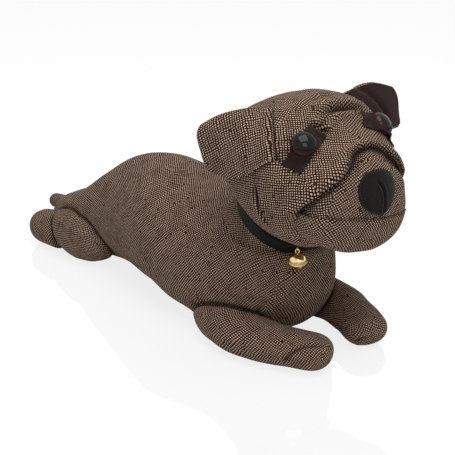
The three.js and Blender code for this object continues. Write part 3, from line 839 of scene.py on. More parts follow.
HEAD = [
    (HEAD_X + share * HEAD_LENGTH, width * HEAD_WIDTH / 2, HEAD_Z + low * HEAD_HEIGHT,
     HEAD_Z + high * HEAD_HEIGHT, square)
    for share, width, low, high, square in [
        (0, 0.14, 0, 0.14, 2), (0.04, 0.42, -0.08, 0.24, 2), (0.14, 0.7, -0.16, 0.33, 2.1),
        (0.3, 0.92, -0.33, 0.44, 2.2), (0.48, 1, -0.45, 0.49, 2.3), (0.65, 0.99, -0.48, 0.475, 2.4),
        (0.8, 0.92, -0.45, 0.33, 2.25), (0.92, 0.76, -0.2, 0.225, 2.15),
        (0.98, 0.55, -0.03, 0.18, 2.1), (1, 0.36, 0.04, 0.14, 2)]]
MUZZLE_X, MUZZLE_LENGTH, MOUTH_Z, MOUTH_TILT = 204, 56, 111.5, 9
SNOUT = [
    (0, 0.86, 0.68), (0.25, 0.98, 0.78), (0.5, 1, 0.86), (0.7, 0.92, 0.91), (0.83, 0.78, 0.83),
    (0.93, 0.54, 0.55), (1, 0.18, 0.14)]
PATCH_WIDTH, PATCH_HEIGHT, PATCH_SHIFT = 14.4, 35, 2
EAR_LENGTH, EAR_DEPTH, EAR_ROOT = 52, 30, 0.15
LOOP_RADIUS, WIRE_RADIUS, BELL_DROP = 1.4, 0.4, 2.7
NECK_MIDDLE, NECK_WIDTH, NECK_DEPTH, NECK_LEAN = np.array([116.5, 0.0, 94.5]), 75, 70, 36
LEG_REACH, LEG_SPREAD, RUMP, HIP = 190, 50, CHEST_X - TORSO_LENGTH, 0.22 * BREADTH
LEGS = {
    "right": [(0.37, -0.68), (0.53, -0.9), (0.68, -1), (0.84, -0.8), (1, -0.52)],
    "left": [(0.37, 0.56), (0.53, 0.74), (0.68, 0.82), (0.84, 0.62), (0.984, 0.34)]}
LEG_SHARES, LEG_RADIUS, LEG_FLATNESS = (1, 1.12, 1.06, 0.98, 0.95), 19, 0.76

EAR_FRONT_FOLD = [(137.8, -41.5, 175.3), (148.9, -49.3, 167.2), (156.6, -52.9, 155.8), (164.4, -52.1, 148.5)]
CHEEK_SEAM = [(145.0, -59.9, 134.4), (145.5, -59.3, 124.6), (149.0, -56.0, 110.5), (153.1, -52.3, 104.2)]
BROW_UPPER = [(160.1, -17.5, 175.4), (159.0, 3.2, 177.9), (159.2, 18.2, 176.1), (158.4, 33.8, 171.8)]
BROW_LOWER = [(164.0, -21.4, 170.7), (163.5, -12.2, 173.0), (162.4, -2.3, 174.6)]

HEAD_PANELS = [
    ((0.3, -0.95, 0.05), 40), ((0.3, 0.95, 0.05), -40), ((0.75, -0.35, 0.6), 52), ((0.75, 0.35, 0.6), -52),
    ((0.05, -0.2, 1), 30), ((0.05, 0.2, 1), -30), ((-0.9, 0, 0.3), 40), ((0.2, 0, -1), 40)]
MUZZLE_PANELS = [
    ((0.95, -0.15, 0.2), 22), ((0.4, -0.9, 0.25), 30), ((0.5, 0.85, 0.2), -30), ((0.5, 0, 0.85), 22),
    ((-1, 0, 0), 0)]
CHIN_PANELS = [
    ((0.9, -0.1, -0.4), 8), ((0.35, -0.9, -0.3), 14), ((0.5, 0.85, -0.2), -14), ((0.1, 0, -1), 8),
    ((-1, 0, 0), 0)]

FOREHEAD = [
    (BROW_UPPER, 3.6, 2.7), (BROW_LOWER, 2.4, 2.1),
    ([(163.6, 12.0, 173.4), (163.2, 21.0, 172.2), (162.5, 29.5, 169.6)], 1.8, 2.0),
    ([(170.5, -14.0, 166.5), (167.0, -19.0, 169.0), (160.5, -25.5, 172.0)], 2.0, 2.0),
    ([(150.0, -26.0, 178.6), (147.5, -12.0, 181.8), (146.5, 4.0, 182.6), (147.0, 20.0, 181.0)], 1.3, 2.2),
    ([(166.5, -33.5, 164.5), (160.5, -42.0, 163.0), (153.5, -48.5, 160.0)], 1.6, 2.0)]


def on_bag(stations, x, y):
    """The point on top of a bag at an x and a y, in mm."""
    stations = np.asarray(stations, float)
    low, high = 0.0, len(stations) - 1.0
    while high - low > 1e-6:
        place = (low + high) / 2
        low, high = (place, high) if through(stations, np.array([place]))[0, 0] < x else (low, place)
    _, half, bottom, top, square = through(stations, np.array([low]))[0]
    share = min(abs(y) / half, 0.95)
    return np.array([x, y, (bottom + top) / 2 + (top - bottom) / 2 * (1 - share**square) ** (1 / square)])


def eye_frame(side):
    """The place of an eye on the head, with the ways across its patch and along it."""
    x, y = HEAD_X + 0.787 * HEAD_LENGTH, side * 37.5
    along_x = on_bag(HEAD, x + 0.5, y) - on_bag(HEAD, x - 0.5, y)
    along_y = on_bag(HEAD, x, y + 0.5) - on_bag(HEAD, x, y - 0.5)
    out = np.cross(along_x, along_y)
    out /= np.linalg.norm(out)
    across = np.cross(out, (0.15, -side * 0.6, 0.8))
    across /= np.linalg.norm(across)
    return Place(on_bag(HEAD, x, y), across, np.cross(across, out), out)


def snout_bag(width, up, down, square, steps, points):
    """The muzzle or the chin, with rings turned about the tilted mouth line."""
    stations = [
        (MUZZLE_X + (share - 1) * MUZZLE_LENGTH, wide * width / 2, MOUTH_Z - tall * down,
         MOUTH_Z + tall * up, square)
        for share, wide, tall in SNOUT]
    centre = Matrix.Translation((0, 0, MOUTH_Z))
    turn = centre @ Matrix.Rotation(math.radians(-MOUTH_TILT), 4, "X") @ centre.inverted()
    return even_rings(bag(stations, steps, points, MOUTH_Z, turn))


def above_mouth(points):
    """How far points in metres lie above the tilted plane between the muzzle and the chin."""
    return points[:, 2] - (MOUTH_Z * MM - points[:, 1] * math.tan(math.radians(MOUTH_TILT)))


def neck_axes():
    """The way up the neck, and the way to its front."""
    lean = math.radians(NECK_LEAN)
    return np.array([math.sin(lean), 0, math.cos(lean)]), np.array([math.cos(lean), 0, -math.sin(lean)])


class DOG_OT_insides(Operator):
    """Finish what is hidden: base panel, wadding, ballast bag and the washers behind the eyes"""

    bl_idname = "dog.insides"
    bl_label = "Insides"

    def execute(self, context):
        washer = material("washer plastic", moulded)
        looks = {
            "base_panel": material("base cloth", plain_cloth(srgb(38, 28, 22), srgb(62, 48, 39), 4200.0)),
            "torso_filling": material("wadding", wadding),
            "ballast_bag": material("cotton", plain_cloth(srgb(150, 134, 106), srgb(196, 182, 152), 3600.0)),
            "eye_washer_right": washer, "eye_washer_left": washer}
        for node, look in looks.items():
            slots = frame["nodes"][node].material_slots
            if not slots:
                raise RuntimeError(f"{node} has no material slot")
            for slot in slots:
                slot.material = look
        return {"FINISHED"}


class DOG_OT_torso(Operator):
    """Sew and stuff the torso, with the stump of the neck"""

    bl_idname = "dog.torso"
    bl_label = "Torso"

    def execute(self, context):
        look, turn = material("tweed", tweed), math.radians(8)
        torso = sewn("torso_tweed", even_rings(bag(TORSO, 92, 84)), look, turn)
        stuff(torso, read(torso)[:, 2] < 1.5 * MM, 3 * MM, 0.4 * MM)
        relax(torso, 2, 0.5)
        refine(torso, 1)
        neck = sewn("neck_tweed", self.neck_rings(), look, turn)
        self.fillet(torso)
        lumps(torso, 0.9, 24)
        on_floor(torso, 0.6)
        for line in (
            [(134.8, -27.9, 64.5), (134.4, -30.5, 61.3), (133.6, -33.6, 57.3)],
            [(130.4, -38.1, 35.8), (126.8, -38.7, 29.3), (123.6, -37.5, 22.3)]):
            crease(torso, line, 1.1, 1.6, fade=0.4)
        finish_piece(torso, ["torso_cover"])
        finish_piece(neck, [])
        return {"FINISHED"}

    @staticmethod
    def neck_rings():
        axis, front = neck_axes()
        heights, flare = (-30, -20, -10, 0, 8, 16), np.array([1.12, 1.08, 1.02, 1, 0.98, 0.9])[:, None]
        centres = np.array([NECK_MIDDLE + axis * height for height in heights])
        deep = np.outer(flare * (NECK_DEPTH / 2), front)
        wide = np.outer(flare * (NECK_WIDTH / 2), LEFT)
        fine = np.linspace(0, len(heights) - 1, 26)
        centres, wide, deep = (through(rows, fine) for rows in (centres, wide, deep))
        return rings(centres, wide, -deep, deep, np.full(len(fine), 2.0), 96) * MM

    @staticmethod
    def fillet(torso):
        """Draws the torso up round the neck."""
        axis, front = neck_axes()
        reach, rise = 20, 5.5 * MM
        points = read(torso)
        from_neck = points / MM - NECK_MIDDLE
        share = np.hypot(from_neck @ front / (NECK_DEPTH / 2), from_neck[:, 1] / (NECK_WIDTH / 2))
        away = np.maximum((share - 1.05) * NECK_WIDTH / 2, 0)
        high_enough = np.clip((from_neck @ axis + 46) / 18, 0, 1)
        fillet = rise * np.clip(1 - away / reach, 0, 1) ** 2 * high_enough
        write(torso, points + outward(torso) * fillet[:, None])


class DOG_OT_head(Operator):
    """Sew and stuff the head, with its brow folds and cheek seams"""

    bl_idname = "dog.head"
    bl_label = "Head"

    def execute(self, context):
        grid = even_rings(bag(HEAD, 62, 96))
        head = sewn("head_tweed", grid, material("tweed", tweed), math.radians(38), even=1.0)
        eyes = [eye_frame(side).middle for side, _ in SIDES]
        stuff(head, near_points(head, eyes, 14), 3.2 * MM)
        relax(head, 1, 0.6)
        refine(head, 2)
        cut_panels(head, HEAD_PANELS)
        lumps(head, 0.8, 17)
        for line in (EAR_FRONT_FOLD, CHEEK_SEAM):
            crease(head, line, 2.2, 1.7, shade=1.0)
            crease(head, mirrored(line), 2.2, 1.7, shade=1.0)
        for line, depth, width in FOREHEAD:
            crease(head, line, depth, width, roll=0.75, shade=1.0, fade=0.25)
        finish_piece(head, ["head"])
        return {"FINISHED"}


class DOG_OT_snout(Operator):
    """Sew and stuff the muzzle and the chin, and fold the face over the muzzle"""

    bl_idname = "dog.snout"
    bl_label = "Muzzle and chin"

    def execute(self, context):
        look = material("tweed", tweed)
        muzzle = sewn("muzzle_tweed", snout_bag(100, 49, 0.4, 1.75, 44, 80), look, math.radians(30), 1.0, 0.55)
        chin = sewn("chin_tweed", snout_bag(102, 0.4, 31, 2.2, 44, 80), look, math.radians(40), 1.0, 0.55)
        drop = [(204.5, 0.2, 113.0), (204.5, 3.5, 108.7), (203.6, 6.9, 104.0)]
        for piece, side in ((muzzle, 1), (chin, -1)):
            stuff(piece, side * above_mouth(read(piece)) < 1.0 * MM, 2.6 * MM, 0.4 * MM)
            relax(piece, 1, 0.6)
            refine(piece, 2)
            cut_panels(piece, MUZZLE_PANELS if piece == muzzle else CHIN_PANELS)
            crease(piece, drop, 0.9, 1.1, roll=0.2, fade=0)
        head = bpy.data.objects["head_tweed"]
        points = read(head)
        away = gaps_to(points, neighbour("muzzle_tweed"), 14 * MM)
        outside = np.clip(away / (0.8 * MM), 0, 1) * np.clip((points[:, 2] - 114 * MM) / (6 * MM), 0, 1)
        roll = 3.6 * MM * np.exp(-(((away - 2.8 * MM) / (2.1 * MM)) ** 2))
        write(head, points + outward(head) * (roll * outside)[:, None])
        # Painted shade under the face's roll, where it overhangs the muzzle.
        darken(head, np.exp(-((np.abs(away) / (1.7 * MM)) ** 2)))
        lumps(muzzle, 0.5, 14)
        lumps(chin, 0.5, 14)
        finish_piece(muzzle, ["muzzle"])
        finish_piece(chin, ["chin"])
        return {"FINISHED"}


def laid_on(name, outline, place, tree, low, high, surface, rows):
    """A cut piece of cloth laid on a skin: a fan of rings from its middle to its outline, in mm."""
    shares = np.concatenate([np.linspace(0, 0.86, rows - 3)[1:], [0.93, 0.98, 1.0]])
    out = place.out
    lying = [[np.array(place.on_skin(tree, a, b)[0]) / MM for a, b in outline * share] for share in shares]
    drops = (high - low) * np.maximum(0, (shares - 0.86) / 0.14) ** 3 * 0.55
    upper = np.array(lying) + (high - drops)[:, None, None] * out
    lower = np.array(lying[::-1]) + low * out
    grid = np.concatenate([upper, lower])
    n, m = grid.shape[:2]
    flat = np.concatenate([shares, shares[::-1]])[:, None, None] * outline * MM
    middles = [np.array(place.on_skin(tree, 0, 0)[0]) / MM + out * height for height in (high, low)]
    points = np.concatenate([grid.reshape(-1, 3), middles]) * MM
    faces, maps = [], []
    for i in range(n - 1):
        for j in range(m):
            k = (j + 1) % m
            faces.append((i * m + j, (i + 1) * m + j, (i + 1) * m + k, i * m + k))
            maps += [flat[i, j], flat[i + 1, j], flat[i + 1, k], flat[i, k]]
    last = (n - 1) * m
    for j in range(m):
        k = (j + 1) % m
        faces += [(n * m, j, k), (n * m + 1, last + k, last + j)]
        maps += [(0, 0), flat[0, j], flat[0, k], (0, 0), flat[-1, k], flat[-1, j]]
    piece = new_piece(name, points, faces, np.asarray(maps) + 0.5, surface)
    face_outwards(piece)
    return piece


def nose_place():
    """The nose's place on the muzzle, half its width and half its height, in mm."""
    trim = bpy.context.scene.dog_trim
    half_height = trim.nose_height / MM / 2
    place = Place(np.array([MUZZLE_X, 0.0, MOUTH_Z + 2 + half_height]), LEFT, UP, FORWARD)
    return place, trim.nose_width / MM / 2, half_height


def nose_outline(count=72):
    """The nose: an oval with a pointed bottom, counted from the bottom round, in mm."""
    _, w, h = nose_place()
    corners = [
        [(0, -h), (w * 0.7, -h * 0.75), (w, -h * 0.35), (w, h * 0.15)],
        [(w, h * 0.15), (w, h * 0.75), (w * 0.55, h), (0, h)]]
    right = []
    for p in np.array(corners):
        for t in np.linspace(0, 1, count // 4, endpoint=False):
            s = 1 - t
            right.append(s**3 * p[0] + 3 * s**2 * t * p[1] + 3 * s * t**2 * p[2] + t**3 * p[3])
    right.append(np.array([0, h]))
    left = [np.array([-x, y]) for x, y in right[-2:0:-1]]
    return np.array(right + left)


class DOG_OT_nose(Operator):
    """Lay the felt nose on the muzzle, with its dart"""

    bl_idname = "dog.nose"
    bl_label = "Nose"

    def execute(self, context):
        place, w, h = nose_place()
        nose = laid_on(
            "nose_felt", nose_outline(), place, skin(bpy.data.objects["muzzle_tweed"]), 0.2, 2.0,
            material("felt", felt), 26)
        refine(nose, 1)
        points = read(nose)
        across, height = points[:, 1] / MM, (points[:, 2] / MM - place.middle[2]) / h
        dome_up = np.clip(1 - (across / w) ** 2 - height**2, 0, 1) ** 0.7
        front = outward(nose)[:, 0] > 0.2
        points[:, 0] += dome_up * 1.6 * MM * front
        write(nose, points)
        surface = skin(nose)
        dart = [
            np.array(place.on_skin(surface, y, z)[0]) / MM
            for y, z in ((-3.2, 9.0), (0.6, 4.5), (2.2, -1), (2.0, -6.5), (0.4, -13.5))]
        crease(nose, dart, 1.1, 1.0, roll=0.3, shade=1.0, fade=0.12)
        finish_piece(nose, ["nose"])
        return {"FINISHED"}


def patch_outline(side, inset, radius, per_side=16):
    """An eye patch's closed outline with small round corners, evenly divided, in mm."""
    w, h, shift = PATCH_WIDTH / 2 - inset, PATCH_HEIGHT / 2 - inset, side * PATCH_SHIFT
    corners = np.array([(shift - w, -h), (shift + w, -h), (shift + w, h), (shift - w, h)])
    made = []
    for i, here in enumerate(corners):
        before, after = corners[i - 1], corners[(i + 1) % 4]
        to_before = (before - here) / np.linalg.norm(before - here)
        to_after = (after - here) / np.linalg.norm(after - here)
        a, b = here + to_before * radius, here + to_after * radius
        made += [(1 - t) ** 2 * a + 2 * (1 - t) * t * here + t**2 * b for t in (0, 0.33, 0.67, 1)]
        end = after - to_after * radius
        made += [b + (end - b) * t for t in np.linspace(0, 1, per_side, endpoint=False)[1:]]
    return np.array(made)


class DOG_OT_eyes(Operator):
    """Set the dome eyes and the patches behind them"""

    bl_idname = "dog.eyes"
    bl_label = "Eyes"

    def execute(self, context):
        head = skin(bpy.data.objects["head_tweed"])
        radius = context.scene.dog_trim.eye_radius / MM
        for side, word in SIDES:
            place = eye_frame(side)
            patch = laid_on(
                f"patch_suede_{word}", patch_outline(side, 0, 1.2), place, head, 0.15, 1.5,
                material("suede", suede), 16)
            self.lids(patch, place, radius)
            finish_piece(patch, [f"eye_patch_{word}"])
            eye = self.dome_eye(f"dome_{word}", radius, place)
            finish_piece(eye, [f"eye_{word}"])
        return {"FINISHED"}

    @staticmethod
    def lids(patch, place, radius):
        """Draws the patch up against the eye's rim, with painted shade in the hollow round the eye."""
        points = read(patch)
        away = points / MM - place.middle
        from_axis = np.linalg.norm(away - np.outer(away @ place.out, place.out), axis=1)
        rise = 3.1 * np.exp(-(((from_axis - radius - 0.8) / 1.7) ** 2))
        write(patch, points + np.outer(rise, place.out) * MM)
        # Painted shade in the hollow round the eye.
        darken(patch, 0.8 * np.exp(-(((from_axis - radius + 0.3) / 0.9) ** 2)))

    @staticmethod
    def dome_eye(name, radius, place):
        """A half ball with a soft edge and a stem, turned about the way out of the head."""
        angles = np.linspace(0, math.pi / 2, 22)
        edge_height, bulge = 3.2, 5.9
        ball = [(radius * math.cos(a), edge_height + bulge * math.sin(a)) for a in angles]
        edge = [(radius * 0.9, 1.9), (radius * 0.975, 2.05), (radius, 2.5)]
        stem = [(2.2, -10.7), (2.2, -4), (2.2, 1.7), (radius * 0.5, 1.8)]
        profile = stem + edge + ball[:-1]
        turns, rows = 72, len(profile)
        points = lathe(profile, turns, place)
        points += [place.at(0, 0, profile[0][1]), place.at(0, 0, edge_height + bulge)]
        faces = quads(rows, turns)
        last = (rows - 1) * turns
        for j in range(turns):
            k = (j + 1) % turns
            faces += [(rows * turns, k, j), (rows * turns + 1, last + j, last + k)]
        piece = new_piece(name, np.array(points) * MM, faces, None, material("dome", dome))
        face_outwards(piece)
        rim = piece.data.attributes.new("rim", "FLOAT", "POINT")
        shares = [r / radius for r, _ in profile for _ in range(turns)] + [1.0, 0.0]
        rim.data.foreach_set("value", np.array(shares, np.float32))
        return piece


EARS = {
    "right": {
        "side": -1, "reach": (-0.58, -0.78, -0.22), "fall": (0.38, 0.06, -0.92),
        "belly": 4, "crown": 5, "sag": 8, "fold": 1.0},
    "left": {
        "side": 1, "reach": (0.13, 0.98, -0.03), "fall": (0.3, -0.1, -0.95),
        "belly": 3, "crown": 6, "sag": 0, "fold": 2.2}}


def ear_surface(side, reach, fall, belly, crown, sag, fold):
    """An ear flap from its root on the head: u runs out, v runs down. In mm."""

    def root(v):
        return on_bag(HEAD, HEAD_X + (0.5 + 0.19 * v) * HEAD_LENGTH, side * (0.6 + 0.35 * v) * HEAD_WIDTH / 2)

    unit = [np.array(way) / np.linalg.norm(way) for way in (reach, fall)]
    roots = {}
    end_top = root(0) + unit[0] * EAR_LENGTH
    end_bottom = end_top + unit[1] * EAR_DEPTH
    normal = np.cross(end_top - root(0), root(1) - root(0))
    normal /= np.linalg.norm(normal)

    def at(u, v):
        out = max(0.0, (u - EAR_ROOT) / (1 - EAR_ROOT))
        if v not in roots:
            roots[v] = root(v)
        here = roots[v]
        inward = np.array([0, -here[1], HEAD_Z - here[2]])
        inward /= np.linalg.norm(inward)
        point = here + inward * 12 * max(0.0, EAR_ROOT - u) / EAR_ROOT
        rounding = 1 - 0.1 * abs(2 * v - 1) ** 5 * out
        point = point + (end_top + (end_bottom - end_top) * v - point) * out * rounding
        arch = math.sin(math.pi * min(1, out * 0.95))
        ripple = 0.7 * math.sin(9 * v + 5 * u) * out - fold * math.exp(-(((u - 0.36 - 0.12 * v) / 0.07) ** 2))
        point = point + UP * arch * (crown * (1 - v) ** 2 - sag * v**2)
        return point - normal * (belly * side * arch * math.sin(math.pi * v) + ripple)

    return at


class DOG_OT_ears(Operator):
    """Sew the two-ply ears: tweed on one side, dark lining on the other"""

    bl_idname = "dog.ears"
    bl_label = "Ears"

    def execute(self, context):
        for word, ear in EARS.items():
            at = ear_surface(**ear)
            tweed_ply = self.ply(
                f"ear_tweed_{word}", at, 0.1, 2.15, 0.0, material("tweed", tweed), math.radians(38))
            lining = self.ply(f"ear_suede_{word}", at, -1.5, -0.1, 0.035, material("suede", suede), 0.0)
            finish_piece(tweed_ply, [f"ear_{word}"])
            finish_piece(lining, [f"ear_lining_{word}"])
        return {"FINISHED"}

    @staticmethod
    def ply(name, at, low, high, inset, surface, turn):
        """One ply with a rounded rim: its front and its back meet in a soft edge."""
        across, along = 64, 44
        u = np.linspace(0.02, 1 - inset, across + 1)
        v = np.linspace(inset * 1.6, 1 - inset * 1.6, along + 1)
        sheet = np.array([[at(a, b) for b in v] for a in u])
        du = np.gradient(sheet, axis=0)
        dv = np.gradient(sheet, axis=1)
        normal = np.cross(du, dv)
        normal /= np.linalg.norm(normal, axis=2)[..., None]
        rim = np.minimum.reduce([
            np.broadcast_to(((1 - inset) - u)[:, None] * EAR_LENGTH, sheet.shape[:2]),
            np.broadcast_to((v - v[0])[None] * 32, sheet.shape[:2]),
            np.broadcast_to((v[-1] - v)[None] * 32, sheet.shape[:2])])
        round_off = np.sqrt(np.clip(1 - (1 - np.clip(rim / 1.4, 0, 1)) ** 2, 0, 1))
        middle, half = (low + high) / 2, (high - low) / 2
        layers = [sheet + normal * (middle + s * half * (0.12 + 0.88 * round_off))[..., None] for s in (-1, 1)]
        row, size = along + 1, (across + 1) * (along + 1)
        points = np.concatenate([layer.reshape(-1, 3) for layer in layers]) * MM
        lengths = np.concatenate([[0], np.cumsum(np.linalg.norm(np.diff(sheet, axis=0), axis=2).mean(1))])
        steps = np.linalg.norm(np.diff(sheet, axis=1), axis=2)
        widths = np.concatenate([np.zeros((across + 1, 1)), np.cumsum(steps, axis=1)], axis=1)
        flat = np.stack([np.repeat(lengths[:, None], row, 1), widths], 2).reshape(-1, 2) * MM
        flat = turned_map(flat, turn)
        faces = []
        for i in range(across):
            for j in range(along):
                a, b, c2, d = i * row + j, (i + 1) * row + j, (i + 1) * row + j + 1, i * row + j + 1
                faces += [(d, c2, b, a), (size + a, size + b, size + c2, size + d)]
        border = [i * row for i in range(across)] + [across * row + j for j in range(along)]
        border += [i * row + along for i in range(across, 0, -1)] + list(range(along, 0, -1))
        for a, b in zip(border, border[1:] + border[:1]):
            faces.append((a, b, size + b, size + a))
        maps = [flat[k % size] for face in faces for k in face]
        return new_piece(name, points, faces, maps, surface)


class DOG_OT_front_legs(Operator):
    """Sew and stuff the front legs"""

    bl_idname = "dog.front_legs"
    bl_label = "Front legs"

    def execute(self, context):
        seams = {
            "right": [
                (166.0, -59.5, 4), (169.8, -55.2, 9.9), (177.4, -49.4, 19.9), (184.4, -41.0, 22.8),
                (189.4, -26.0, 16.7)],
            "left": [(172.8, 12.5, 3.0), (181.1, 10.5, 9.8), (186.2, 15.5, 11.6)]}
        for word, path in LEGS.items():
            line = []
            for (x, y), share in zip(path, LEG_SHARES):
                radius = share * LEG_RADIUS
                line.append((x * LEG_REACH, y * LEG_SPREAD, LEG_FLATNESS * radius - 1, radius))
            turn = math.radians(20 if word == "right" else -16)
            grid = even_rings(limb(line, LEG_FLATNESS, 52, 44))
            leg = sewn(f"leg_tweed_{word}", grid, material("tweed", tweed), turn)
            stuff_leg(leg, near_line(leg, seams[word], 2.2))
            crease(leg, seams[word], 1.4, 1.5)
            finish_piece(leg, [f"front_leg_{word}"])
        return {"FINISHED"}


class DOG_OT_hind_legs(Operator):
    """Sew and stuff the thighs and the hind feet"""

    bl_idname = "dog.hind_legs"
    bl_label = "Hind legs"

    def execute(self, context):
        look = material("tweed", tweed)
        for side, word in SIDES:
            stations = []
            for share in (-1, -0.92, -0.6, 0, 0.6, 0.92, 1):
                full = math.sqrt(1 - share**2) * 0.94 + 0.06
                x = RUMP + 0.2 * TORSO_LENGTH + share * 42
                stations.append((x, 21 * full, 21.5 - 23.5 * full, 21.5 + 23.5 * full, 2.1))
            grid = even_rings(bag(stations, 34, 48)) + np.array([0, side * HIP * MM, 0])
            thigh = sewn(f"thigh_tweed_{word}", grid, look, math.radians(-30))
            line = [
                (RUMP + 45, side * 1.08 * HIP, 17, 18.4), (RUMP + 21, side * 1.16 * HIP, 16, 16.8),
                (RUMP - 3, side * 1.2 * HIP, 15, 15.2)]
            foot = sewn(f"foot_tweed_{word}", even_rings(limb(line, 0.98, 30, 40)), look, math.radians(10))
            for piece, name in ((thigh, f"thigh_{word}"), (foot, f"foot_{word}")):
                stuff_leg(piece, read(piece)[:, 2] < 1 * MM)
                finish_piece(piece, [name])
        return {"FINISHED"}


class DOG_OT_tail(Operator):
    """Sew and stuff the tail"""

    bl_idname = "dog.tail"
    bl_label = "Tail"

    def execute(self, context):
        line = [(RUMP + 14, 0, 30, 6.5), (RUMP - 20, 0, 25.7, 6.5)]
        tail = sewn("tail_tweed", even_rings(limb(line, 1, 24, 28)), material("tweed", tweed), math.radians(15))
        relax(tail, 1, 0.6)
        refine(tail, 2)
        finish_piece(tail, ["tail"])
        return {"FINISHED"}


class DOG_OT_collar(Operator):
    """Wrap the ribbon collar round the neck"""

    bl_idname = "dog.collar"
    bl_label = "Collar"

    def execute(self, context):
        axis, front = neck_axes()
        width = context.scene.dog_trim.collar_width / MM
        half = [(-0.5, 0.35), (-0.5, 1.2), (-0.47, 1.75), (-0.4, 1.9), (-0.2, 1.8)]
        section = half + [(0, 1.78)] + [(-high, out) for high, out in half[::-1]] + [(0.2, 0.4), (-0.2, 0.4)]
        turns, size, girth = 220, len(section), math.pi * 74 * MM
        points, maps = [], []
        for j in range(turns):
            a = TURN * j / turns
            for high, out in section:
                wave = 0.18 * math.sin(7 * a) * (1 if high > 0 else -1)
                deep = front * (NECK_DEPTH / 2 + out) * math.cos(a)
                wide = LEFT * (NECK_WIDTH / 2 + out) * math.sin(a)
                points.append(NECK_MIDDLE + axis * (high * width + wave * abs(high)) + deep + wide)
            u, next_u = girth * j / turns, girth * (j + 1) / turns
            for i in range(size):
                maps += [(u, i * MM), (u, (i + 1) * MM), (next_u, (i + 1) * MM), (next_u, i * MM)]
        faces = quads(turns, size, True)
        collar = new_piece("collar_ribbon", np.array(points) * MM, faces, maps, material("ribbon", ribbon))
        face_outwards(collar)
        finish_piece(collar, ["collar"])
        return {"FINISHED"}


def bell_frame():
    """The bell's pivot, the place of its middle with the ways forward, across and down, and its radius."""
    joint = next(j for j in frame["joints"] if j["name"] == "bell_swing")
    pivot = np.array(joint["pos_m"]) / MM
    across = -np.array(joint["axis"], float)
    across /= np.linalg.norm(across)
    lean = math.radians(2)
    down = np.cross(across, UP) * math.sin(lean) - UP * math.cos(lean)
    radius = bpy.context.scene.dog_trim.bell_radius / MM
    return pivot, Place(pivot + down * (BELL_DROP + radius), np.cross(across, down), across, down), radius


def lathe(profile, turns, place):
    """Rings about the way out of a place, from rows of (radius, height), in mm."""
    angles = [TURN * j / turns for j in range(turns)]
    return [place.at(r * math.cos(a), r * math.sin(a), height) for r, height in profile for a in angles]


def turned(name, profile, place, surface, turns=64):
    """A form turned about the way out of a place, closed on itself."""
    points = np.array(lathe(profile, turns, place)) * MM
    piece = new_piece(name, points, quads(len(profile), turns, True), None, surface)
    face_outwards(piece)
    return piece


def wire_ring(name, centre, axis, start, surface):
    """A ring of round wire about an axis."""
    angles = np.linspace(0, TURN, 14, endpoint=False)
    wire = [(LOOP_RADIUS + WIRE_RADIUS * math.cos(a), WIRE_RADIUS * math.sin(a)) for a in angles]
    return turned(name, wire, Place(centre, start, np.cross(axis, start), axis), surface, 48)


class DOG_OT_bell(Operator):
    """Turn the jingle bell, with its slot, its ball and the wire loops it hangs by"""

    bl_idname = "dog.bell"
    bl_label = "Bell"

    def execute(self, context):
        look = material("plate", plate)
        pivot, place, radius = bell_frame()
        ring = wire_ring("collar_loop_wire", pivot, place.along, UP, look)
        finish_piece(ring, ["collar_loop"])
        for node, side in (("bell_cap", -1), ("bell_cup", 1)):
            angles = np.radians(side * np.linspace(90, 1.6, 26))
            outer, inner = (
                [(max(r * math.cos(a), 0.02), r * math.sin(a)) for a in angles] for r in (radius, radius - 0.8))
            rim = [(radius + out, side * high) for out, high in ((0.45, 1.0), (0.5, 0.6), (0.4, 0.17))]
            shell = turned(f"{node}_plate", outer + rim + inner[::-1], place, look)
            if node == "bell_cap":
                self.join(shell, wire_ring("cap_loop", pivot + place.out * 1.7, place.across, UP, look))
            else:
                self.cut_slot(shell, place, radius)
            finish_piece(shell, [node], body="bell")
        angles = np.linspace(-math.pi / 2, math.pi / 2, 18)
        profile = [(max(2.2 * math.cos(a), 0.01), 2.2 * math.sin(a)) for a in angles]
        middle = np.mean([np.array(corner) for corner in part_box("bell_ball")], axis=0) / MM
        ball = turned("bell_ball_plate", profile, Place(middle, place.across, place.along, UP), look, 32)
        finish_piece(ball, ["bell_ball"], body="bell")
        return {"FINISHED"}

    @staticmethod
    def join(piece, other):
        with bpy.context.temp_override(
                active_object=piece, object=piece, selected_objects=[piece, other],
                selected_editable_objects=[piece, other]):
            bpy.ops.object.join()

    @staticmethod
    def cut_slot(piece, place, radius):
        """Cuts the slot across the bottom."""
        corners = [
            place.at(radius * x, y, radius * z)
            for x in (-0.72, 0.72) for y in (-0.8, 0.8) for z in (0.3, 1.4)]
        faces = [(0, 1, 3, 2), (4, 6, 7, 5), (0, 4, 5, 1), (2, 3, 7, 6), (0, 2, 6, 4), (1, 5, 7, 3)]
        cutter = new_piece("slot_cutter", np.array(corners) * MM, faces, None, material("plate", plate))
        face_outwards(cutter)
        cut = piece.modifiers.new("slot", "BOOLEAN")
        cut.object, cut.operation, cut.solver = cutter, "DIFFERENCE", "EXACT"
        bpy.context.view_layer.update()
        apply_all(piece)
        bpy.data.objects.remove(cutter)


